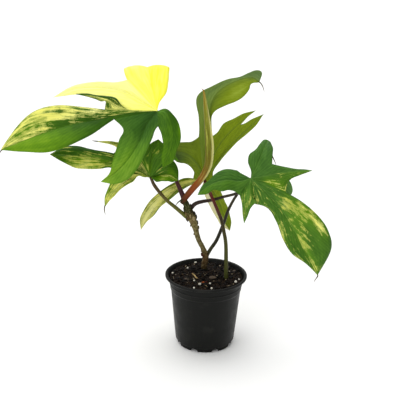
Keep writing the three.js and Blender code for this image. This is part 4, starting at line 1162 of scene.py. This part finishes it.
def lobe_tones(leaf, number, side, u, out_share):
    """The tone at each point of half a lobe: straight from the one at the base to the one at the tip, plus
    each spot's change times exp(-d^2), where d is the distance from the spot in shares of its reach."""
    lobe = leaf["lobes"][number]
    base_tone, tip_tone = np.array(lobe.get("tone") or lobe[f"{side}_tone"], float)
    tones = base_tone + (tip_tone - base_tone) * u[:, None, None] * np.ones((1, len(out_share), 1))
    for spot_lobe, spot_along, spot_out, reach_along, reach_out, change in leaf["spots"]:
        if spot_lobe == number:
            far = ((u[:, None] - spot_along) / reach_along) ** 2 + ((out_share - spot_out) / reach_out) ** 2
            tones = tones + np.exp(-far)[..., None] * np.array(change, float)
    return tones


def half_lobe(leaf, number, side, settings):
    """Half a lobe as a grid: vein + s (margin - vein) + facing lift, s from 0 at the vein to 1 at the margin.
    The lift is an arch between vein and margin, 4s(1-s), or 6.75s(1-s)^2 where the next lobe joins, waves
    that grow by s^2 towards a free margin, and shallow furrows along the side veins. Gives the points, the
    number of each point, the faces, and values at each point."""
    crowding, edge_width, map_step, web_fade = 1.4, 1.4, 40, 0.1
    wave_length, wave_breadth, wave_step, wave_start = 17, 40, 7.3, 0.2
    smooth_width, furrowed_width = 4, 10
    rows, columns = settings.rows, settings.columns
    sign = 1 if side == "left" else -1
    u = np.linspace(0, 1, rows + 1)
    s = (np.arange(columns + 1) / columns) ** crowding
    every = np.ones((rows + 1, columns + 1))
    vein, facing, sideways = vein_frame(leaf, leaf["lobes"][number], u)
    margin, shared_rows, gap = lobe_margin(leaf, number, side, u, vein, sideways)
    span = margin - vein
    distance = np.linalg.norm(span, axis=-1)[:, None]
    out = distance * s
    along = np.append(0, np.cumsum(np.linalg.norm(np.diff(vein, axis=0), axis=-1)))[:, None] * every
    web = (1 - smooth_rise(u, u[shared_rows], u[shared_rows] + web_fade))[:, None] * bool(shared_rows)
    free = 1 - web
    seed = number * 2 + (side == "left")
    wave_place = np.stack([along / wave_length, every * seed * wave_step, out / wave_breadth], -1)
    waves = smooth_noise(wave_place, seed=3)
    furrows = np.cos(TURN * (along - settings.vein_slant * out) / (settings.vein_spacing / MM))
    lift = settings.arch * distance * (4 * s * (1 - s) * free + 6.75 * s * (1 - s) ** 2 * web)
    lift = lift + settings.wave / MM * waves * s**2 * free * smooth_rise(u, 0, wave_start)[:, None]
    furrowed = np.sin(math.pi * s) * smooth_rise(distance, smooth_width, furrowed_width)
    lift = lift + settings.furrow / MM * furrows * furrowed
    points = vein[:, None] + span[:, None] * s[:, None] + facing[:, None] * lift[..., None]

    # Each half lobe, vein and sinus line has a block of numbers, so half lobes share the points on a line
    place = np.arange(every.size).reshape(every.shape)
    block, veins, sinuses = 100000, 100, 200
    ids = place + block * (seed + 1)
    ids[:, 0] = block * (veins + number) + np.arange(rows + 1)
    ids[1:shared_rows + 1, -1] = block * (sinuses + gap) + np.arange(1, shared_rows + 1)
    ids[0] = 0
    ids[-1] = block * (veins + number) + rows

    values = {
        "map": np.stack([along / MAP_UNIT + map_step * number, sign * out / MAP_UNIT], -1),
        "spread": sign * s * every,
        "tones": lobe_tones(leaf, number, side, u, s * sign),
        "out": out,
        "share": u[:, None] * every,
        "edge": np.exp(-(((distance - out) / edge_width) ** 2)) * free,
        "web": smooth_rise(s, 0.15, 0.8) * web,
    }
    flat = {name: table.reshape(every.size, -1).squeeze() for name, table in values.items()}
    return points.reshape(-1, 3), ids.ravel(), lobe_faces(place, side), flat


def corner_ends(faces):
    """For each face corner in order, its point and the next point round the face."""
    starts = np.concatenate([corners.ravel() for corners in faces])
    ends = np.concatenate([np.roll(corners, -1, axis=1).ravel() for corners in faces])
    return starts, ends


def surface_normals(points, faces):
    """The normal at each point: the sum of the cross products of its faces' diagonals, which are as long as
    twice a face's area. A triangle counts as a quad whose last two corners are one."""
    total = np.zeros_like(points)
    for corners in faces:
        first_diagonal = points[corners[:, 2]] - points[corners[:, 0]]
        second_diagonal = points[corners[:, -1]] - points[corners[:, 1]]
        normal = np.repeat(np.cross(first_diagonal, second_diagonal), corners.shape[1], axis=0)
        for axis in range(3):
            total[:, axis] += np.bincount(corners.ravel(), normal[:, axis], len(points))
    return unit(total)


def relaxed(points, faces, weight, rounds):
    """Eases creases out of a surface: each round moves a point along its normal by its weight times half its
    distance to the mean of its neighbours."""
    starts, ends = corner_ends(faces)
    one, other = np.append(starts, ends), np.append(ends, starts)
    number = np.bincount(one, minlength=len(points))[:, None]
    for _ in range(rounds):
        total = np.stack([np.bincount(one, points[other, axis], len(points)) for axis in range(3)], -1)
        mean = total / number
        normal = surface_normals(points, faces)
        step = ((mean - points) * normal).sum(-1, keepdims=True)
        points = points + 0.5 * weight[:, None] * step * normal
    return points


def build_leaf(word, leaf, settings):
    """One blade. Its half lobes are joined along the veins and the lines to the sinuses, creases between
    lobes are eased out, and the surface is moved out both ways along its normals: less at the margin, with a
    groove over each vein above and a rib under it below, both fading towards the tip. The value under is 0
    above, 1 below and a half on the rim."""
    edge_loss, tip_loss, slimmest_vein, vein_growth = 0.6, 0.8, 0.4, 0.9
    halves = [half_lobe(leaf, number, side, settings)
              for number in range(len(leaf["lobes"])) for side in ("left", "right")]
    grids, ids, grid_faces, tables = zip(*halves)
    starts = np.cumsum([0] + [len(grid) for grid in grids])
    loose = np.concatenate(grids)
    values = {name: np.concatenate([table[name] for table in tables]) for name in tables[0]}
    loose_faces = [np.concatenate([kinds[kind] + start for start, kinds in zip(starts, grid_faces)])
                   for kind in range(2)]
    _, first, welded = np.unique(np.concatenate(ids), return_index=True, return_inverse=True)
    faces = [welded[corners] for corners in loose_faces]
    count = len(first)

    edge_starts, edge_ends = corner_ends(faces)
    key = np.minimum(edge_starts, edge_ends) * count + np.maximum(edge_starts, edge_ends)
    _, open_edges, uses = np.unique(key, return_index=True, return_counts=True)
    open_edges = open_edges[uses == 1]
    start, end = edge_starts[open_edges], edge_ends[open_edges]
    weight = values["web"][first]
    weight[np.append(start, end)] = 0
    points = relaxed(loose[first], faces, weight, settings.easing)

    normal = surface_normals(points, faces)
    half = settings.thickness / MM / 2 * (1 - edge_loss * values["edge"][first])
    taper = 1 - tip_loss * values["share"][first]
    vein_width = slimmest_vein + vein_growth * taper
    near_vein = np.exp(-((values["out"][first] / vein_width) ** 2)) * taper
    top = points + normal * (half - settings.groove / MM * near_vein)[:, None]
    bottom = points - normal * (half + settings.rib / MM * near_vein)[:, None]

    loose_start, loose_end = (ends[open_edges] for ends in corner_ends(loose_faces))
    rim = np.stack([end, start, start + count, end + count], -1)
    rim_corners = np.stack([loose_end, loose_start, loose_start, loose_end], -1)
    all_faces = [*faces, *[corners[:, ::-1] + count for corners in faces], rim]
    loose_all = [*loose_faces, *[corners[:, ::-1] for corners in loose_faces], rim_corners]
    corner = np.concatenate([corners.ravel() for corners in loose_all])
    tones = values["tones"][corner]
    sides = len(edge_starts)
    under = np.repeat((0, 1, 0.5), (sides, sides, rim.size))
    # light carries painted light and shade, and cool a painted sheen, with the leaf's own tones
    corner_values = {"cream": tones[:, 0], "yellow": tones[:, 1], "light": tones[:, 2], "cool": tones[:, 3],
                     "under": under, "spread": values["spread"][corner]}
    piece = make_piece(f"blade_{word}", np.concatenate([top, bottom]), all_faces, corner_values=corner_values,
                       corner_map=values["map"][corner])
    finish = leaf_finish(f"leaf_{word}_blade", leaf["vein_top"], settings)
    settle(piece, finish, f"leaf_{word}_blade", f"leaf_{word}")


def build_drip_tips():
    """The thin dry tips of the lobes: rods that taper from the blade's thickness to a hair."""
    finish = tinted_finish("drip_tip", mottle=0.4, speck=0.2, roughness=0.6, relief=0.0001, stretch=(6, 1, 1))
    for word, lines in DRIP_TIPS.items():
        rods = [rod({"points": line, "radii": DRIP_TIP_RADII, "tones": DRIP_TIP_TONES}, rows=20, columns=8)
                for line in lines]
        settle(make_piece(f"drip_tip_{word}", *joined(rods)), finish, f"leaf_{word}_blade")


def build_studio(settings):
    """A white floor, soft light from above and in front, and the camera at the photograph's viewing angle."""
    scene = bpy.context.scene
    points_a_side, below_pot = 3, 0.05
    steps = np.linspace(-0.5, 0.5, points_a_side) * settings.floor_size / MM
    x, y = np.meshgrid(steps, steps)
    place = np.arange(x.size).reshape(x.shape)
    quads = np.stack([place[:-1, :-1], place[:-1, 1:], place[1:, 1:], place[1:, :-1]], -1).reshape(-1, 4)
    points = np.stack([x, y, np.full_like(x, -below_pot)], -1).reshape(-1, 3)
    floor = make_piece("studio_floor", points, [quads])
    floor.data.materials.append(floor_finish())

    world = bpy.data.worlds.new("studio")
    world.use_nodes = True
    background = world.node_tree.nodes["Background"]
    background.inputs["Color"].default_value = (1, 1, 1, 1)
    background.inputs["Strength"].default_value = settings.world_light
    scene.world = world
    for name, (strength, width, tilt, turn) in LIGHTS.items():
        light = bpy.data.lights.new(name, "SUN")
        light.energy = getattr(settings, strength)
        light.angle = math.radians(width)
        lamp = bpy.data.objects.new(name, light)
        tilted = Matrix.Rotation(math.radians(tilt), 4, "X")
        lamp.matrix_world = Matrix.Rotation(math.radians(turn), 4, "Z") @ tilted
        scene.collection.objects.link(lamp)

    camera = bpy.data.cameras.new("photo_camera")
    camera.lens = settings.lens
    camera.sensor_width = 36
    camera.clip_end = 100
    viewer = bpy.data.objects.new("photo_camera", camera)
    turned = Matrix.Rotation(settings.pitch, 4, "X") @ Matrix.Rotation(settings.roll, 4, "Z")
    viewer.matrix_world = Matrix.Translation(settings.camera_place) @ turned
    scene.collection.objects.link(viewer)
    scene.camera = viewer
    scene.view_settings.view_transform = "Standard"


def colour_setting(name, description, *screen_colour):
    """A colour that a user can change, given as a screen colour."""
    return FloatVectorProperty(name=name, description=description, default=paint(*screen_colour), size=4,
                               min=0, max=1, subtype="COLOR")


class PotSettings(bpy.types.PropertyGroup):
    """Settings of the pot"""
    sides: IntProperty(name="Sides", description="Faces round the pot", default=256)
    corner_radius: FloatProperty(name="Corner radius", description="Rounding of the moulded corners",
                                 default=0.7 * MM, unit="LENGTH")
    plastic: colour_setting("Plastic", "Colour of the pot", 17, 18, 16)
    dust: colour_setting("Dust", "Colour of the dusty patches on the pot", 34, 34, 31)


class SoilSettings(bpy.types.PropertyGroup):
    """Settings of the soil and the pieces on it"""
    crumbs: IntProperty(name="Crumbs", description="Loose crumbs on the soil", default=1300)
    roughness: FloatProperty(name="Roughness", description="Height of the lumps in the soil's top",
                             default=1.6 * MM, unit="LENGTH")
    grain_rows: IntProperty(name="Grain rows", description="Rows of points on a grain or chip", default=13)
    wet: colour_setting("Wet soil", "Darkest colour of the soil", 10, 8, 6)
    peat: colour_setting("Peat", "Dark colour of the soil", 20, 14, 10)
    bark: colour_setting("Bark", "Brown colour of the soil", 38, 27, 19)
    fibre: colour_setting("Fibre", "Lightest colour of the soil", 66, 49, 34)


class StalkSettings(bpy.types.PropertyGroup):
    """Settings of the stem, the stalks and the rolled leaf"""
    rows: IntProperty(name="Rows", description="Rows of points along a stalk", default=110)
    columns: IntProperty(name="Columns", description="Points round a stalk", default=24)


class LeafSettings(bpy.types.PropertyGroup):
    """Settings of the leaf blades"""
    rows: IntProperty(name="Rows", description="Rows of points along a lobe, a multiple of 12", default=72)
    columns: IntProperty(name="Columns", description="Columns of points from a vein to a margin", default=12)
    easing: IntProperty(name="Easing", description="Rounds that ease out creases between lobes", default=60)
    thickness: FloatProperty(name="Thickness", description="Thickness of a blade", default=0.7 * MM,
                             unit="LENGTH")
    groove: FloatProperty(name="Groove", description="Depth of the groove over a vein", default=0.16 * MM,
                          unit="LENGTH")
    rib: FloatProperty(name="Rib", description="Height of the rib under a vein", default=0.9 * MM,
                       unit="LENGTH")
    wave: FloatProperty(name="Wave", description="Height of the waves in a margin", default=0.9 * MM,
                        unit="LENGTH")
    furrow: FloatProperty(name="Furrow", description="Height of the furrows along the side veins",
                          default=0.06 * MM, unit="LENGTH")
    vein_spacing: FloatProperty(name="Vein spacing", description="Distance between side veins",
                                default=8 * MM, unit="LENGTH")
    vein_slant: FloatProperty(name="Vein slant", description="How far side veins run along for each step out",
                              default=2.4)
    arch: FloatProperty(name="Arch", description="Height of the arch between vein and margin, as a share of "
                        "the distance", default=0.1, subtype="FACTOR")
    deep_green: colour_setting("Deep green", "Darkest green", 28, 58, 4)
    leaf_green: colour_setting("Leaf green", "Middle green", 58, 98, 8)
    bright_green: colour_setting("Bright green", "Light green", 94, 138, 14)
    pale_green: colour_setting("Pale green", "Lightest green", 138, 174, 36)
    pale_cream: colour_setting("Pale cream", "Cream with no yellow in it", 255, 250, 205)
    gold: colour_setting("Gold", "Golden cream", 218, 218, 100)
    light_yellow: colour_setting("Light yellow", "Colour of the paler yellow lobes", 255, 254, 160)
    yellow: colour_setting("Yellow", "Colour of the yellowest lobes", 255, 252, 60)


class StudioSettings(bpy.types.PropertyGroup):
    """Settings of the floor, the lights and the camera"""
    floor_size: FloatProperty(name="Floor size", description="Side of the floor", default=30, unit="LENGTH")
    world_light: FloatProperty(name="World light", description="Strength of the light all round",
                               default=0.42)
    top_light: FloatProperty(name="Top light", description="Strength of the light from above", default=2.3)
    front_light: FloatProperty(name="Front light", description="Strength of the light from the front",
                               default=1.0)
    camera_place: FloatVectorProperty(name="Camera place", description="Where the camera stands",
                                      default=(-0.0098, -1.0605, 0.5639), subtype="TRANSLATION",
                                      unit="LENGTH")
    pitch: FloatProperty(name="Pitch", description="Camera's turn up from straight down",
                         default=math.radians(70.8), unit="ROTATION")
    roll: FloatProperty(name="Roll", description="Camera's turn about its view", default=math.radians(1.2),
                        unit="ROTATION")
    lens: FloatProperty(name="Lens", description="Focal length in millimetres on a sensor 36 mm wide",
                        default=81)


class PHILODENDRON_OT_studio(bpy.types.Operator):
    """Build the floor, the lights and the camera"""
    bl_idname = "philodendron.studio"
    bl_label = "Studio"

    def execute(self, context):
        build_studio(context.scene.philodendron_studio)
        return {"FINISHED"}


class PHILODENDRON_OT_pot(bpy.types.Operator):
    """Build the pot"""
    bl_idname = "philodendron.pot"
    bl_label = "Pot"

    def execute(self, context):
        build_pot(context.scene.philodendron_pot)
        return {"FINISHED"}


class PHILODENDRON_OT_soil(bpy.types.Operator):
    """Build the soil and its crumbs"""
    bl_idname = "philodendron.soil"
    bl_label = "Soil"

    def execute(self, context):
        build_soil(context.scene.philodendron_soil)
        build_crumbs(context.scene.philodendron_soil)
        return {"FINISHED"}


class PHILODENDRON_OT_grains(bpy.types.Operator):
    """Build the perlite grains, bark chips and twig"""
    bl_idname = "philodendron.grains"
    bl_label = "Grains, chips and twig"

    def execute(self, context):
        build_grains(context.scene.philodendron_soil)
        return {"FINISHED"}


class PHILODENDRON_OT_stem(bpy.types.Operator):
    """Build the stem and its aerial roots"""
    bl_idname = "philodendron.stem"
    bl_label = "Stem"

    def execute(self, context):
        build_stem(context.scene.philodendron_stalk)
        return {"FINISHED"}


class PHILODENDRON_OT_stalks(bpy.types.Operator):
    """Build the leaf stalks"""
    bl_idname = "philodendron.stalks"
    bl_label = "Leaf stalks"

    def execute(self, context):
        build_stalks(context.scene.philodendron_stalk)
        return {"FINISHED"}


class PHILODENDRON_OT_new_leaf(bpy.types.Operator):
    """Build the rolled new leaf"""
    bl_idname = "philodendron.new_leaf"
    bl_label = "New leaf"

    def execute(self, context):
        build_new_leaf(context.scene.philodendron_stalk)
        return {"FINISHED"}


class PHILODENDRON_OT_leaves(bpy.types.Operator):
    """Build the leaf blades and their dry tips"""
    bl_idname = "philodendron.leaves"
    bl_label = "Leaves"

    def execute(self, context):
        for word, leaf in LEAVES.items():
            build_leaf(word, leaf, context.scene.philodendron_leaf)
        build_drip_tips()
        return {"FINISHED"}


OPERATORS = (PHILODENDRON_OT_studio, PHILODENDRON_OT_pot, PHILODENDRON_OT_soil, PHILODENDRON_OT_grains,
             PHILODENDRON_OT_stem, PHILODENDRON_OT_stalks, PHILODENDRON_OT_new_leaf, PHILODENDRON_OT_leaves)
SETTINGS = {"pot": PotSettings, "soil": SoilSettings, "stalk": StalkSettings, "leaf": LeafSettings,
            "studio": StudioSettings}


class PHILODENDRON_PT_pieces(bpy.types.Panel):
    """Buttons for the pieces of the plant, and their settings"""
    bl_label = "Philodendron"
    bl_idname = "PHILODENDRON_PT_pieces"
    bl_space_type = "VIEW_3D"
    bl_region_type = "UI"
    bl_category = "Philodendron"

    def draw(self, context):
        for operator in OPERATORS:
            self.layout.operator(operator.bl_idname)
        for word, kind in SETTINGS.items():
            settings = getattr(context.scene, f"philodendron_{word}")
            for name in kind.__annotations__:
                self.layout.prop(settings, name)


def register():
    """Makes the classes known to Blender and gives each scene the settings."""
    for item in (*SETTINGS.values(), *OPERATORS, PHILODENDRON_PT_pieces):
        bpy.utils.register_class(item)
    for word, kind in SETTINGS.items():
        setattr(bpy.types.Scene, f"philodendron_{word}", PointerProperty(type=kind))


def unregister():
    """Takes the settings and the classes away again."""
    for word in SETTINGS:
        delattr(bpy.types.Scene, f"philodendron_{word}")
    for item in (PHILODENDRON_PT_pieces, *OPERATORS, *SETTINGS.values()):
        bpy.utils.unregister_class(item)


def main():
    """Builds all pieces."""
    register()
    for word in ("studio", "pot", "soil", "grains", "stem", "stalks", "new_leaf", "leaves"):
        getattr(bpy.ops.philodendron, word)()


if __name__ == "__main__":
    main()
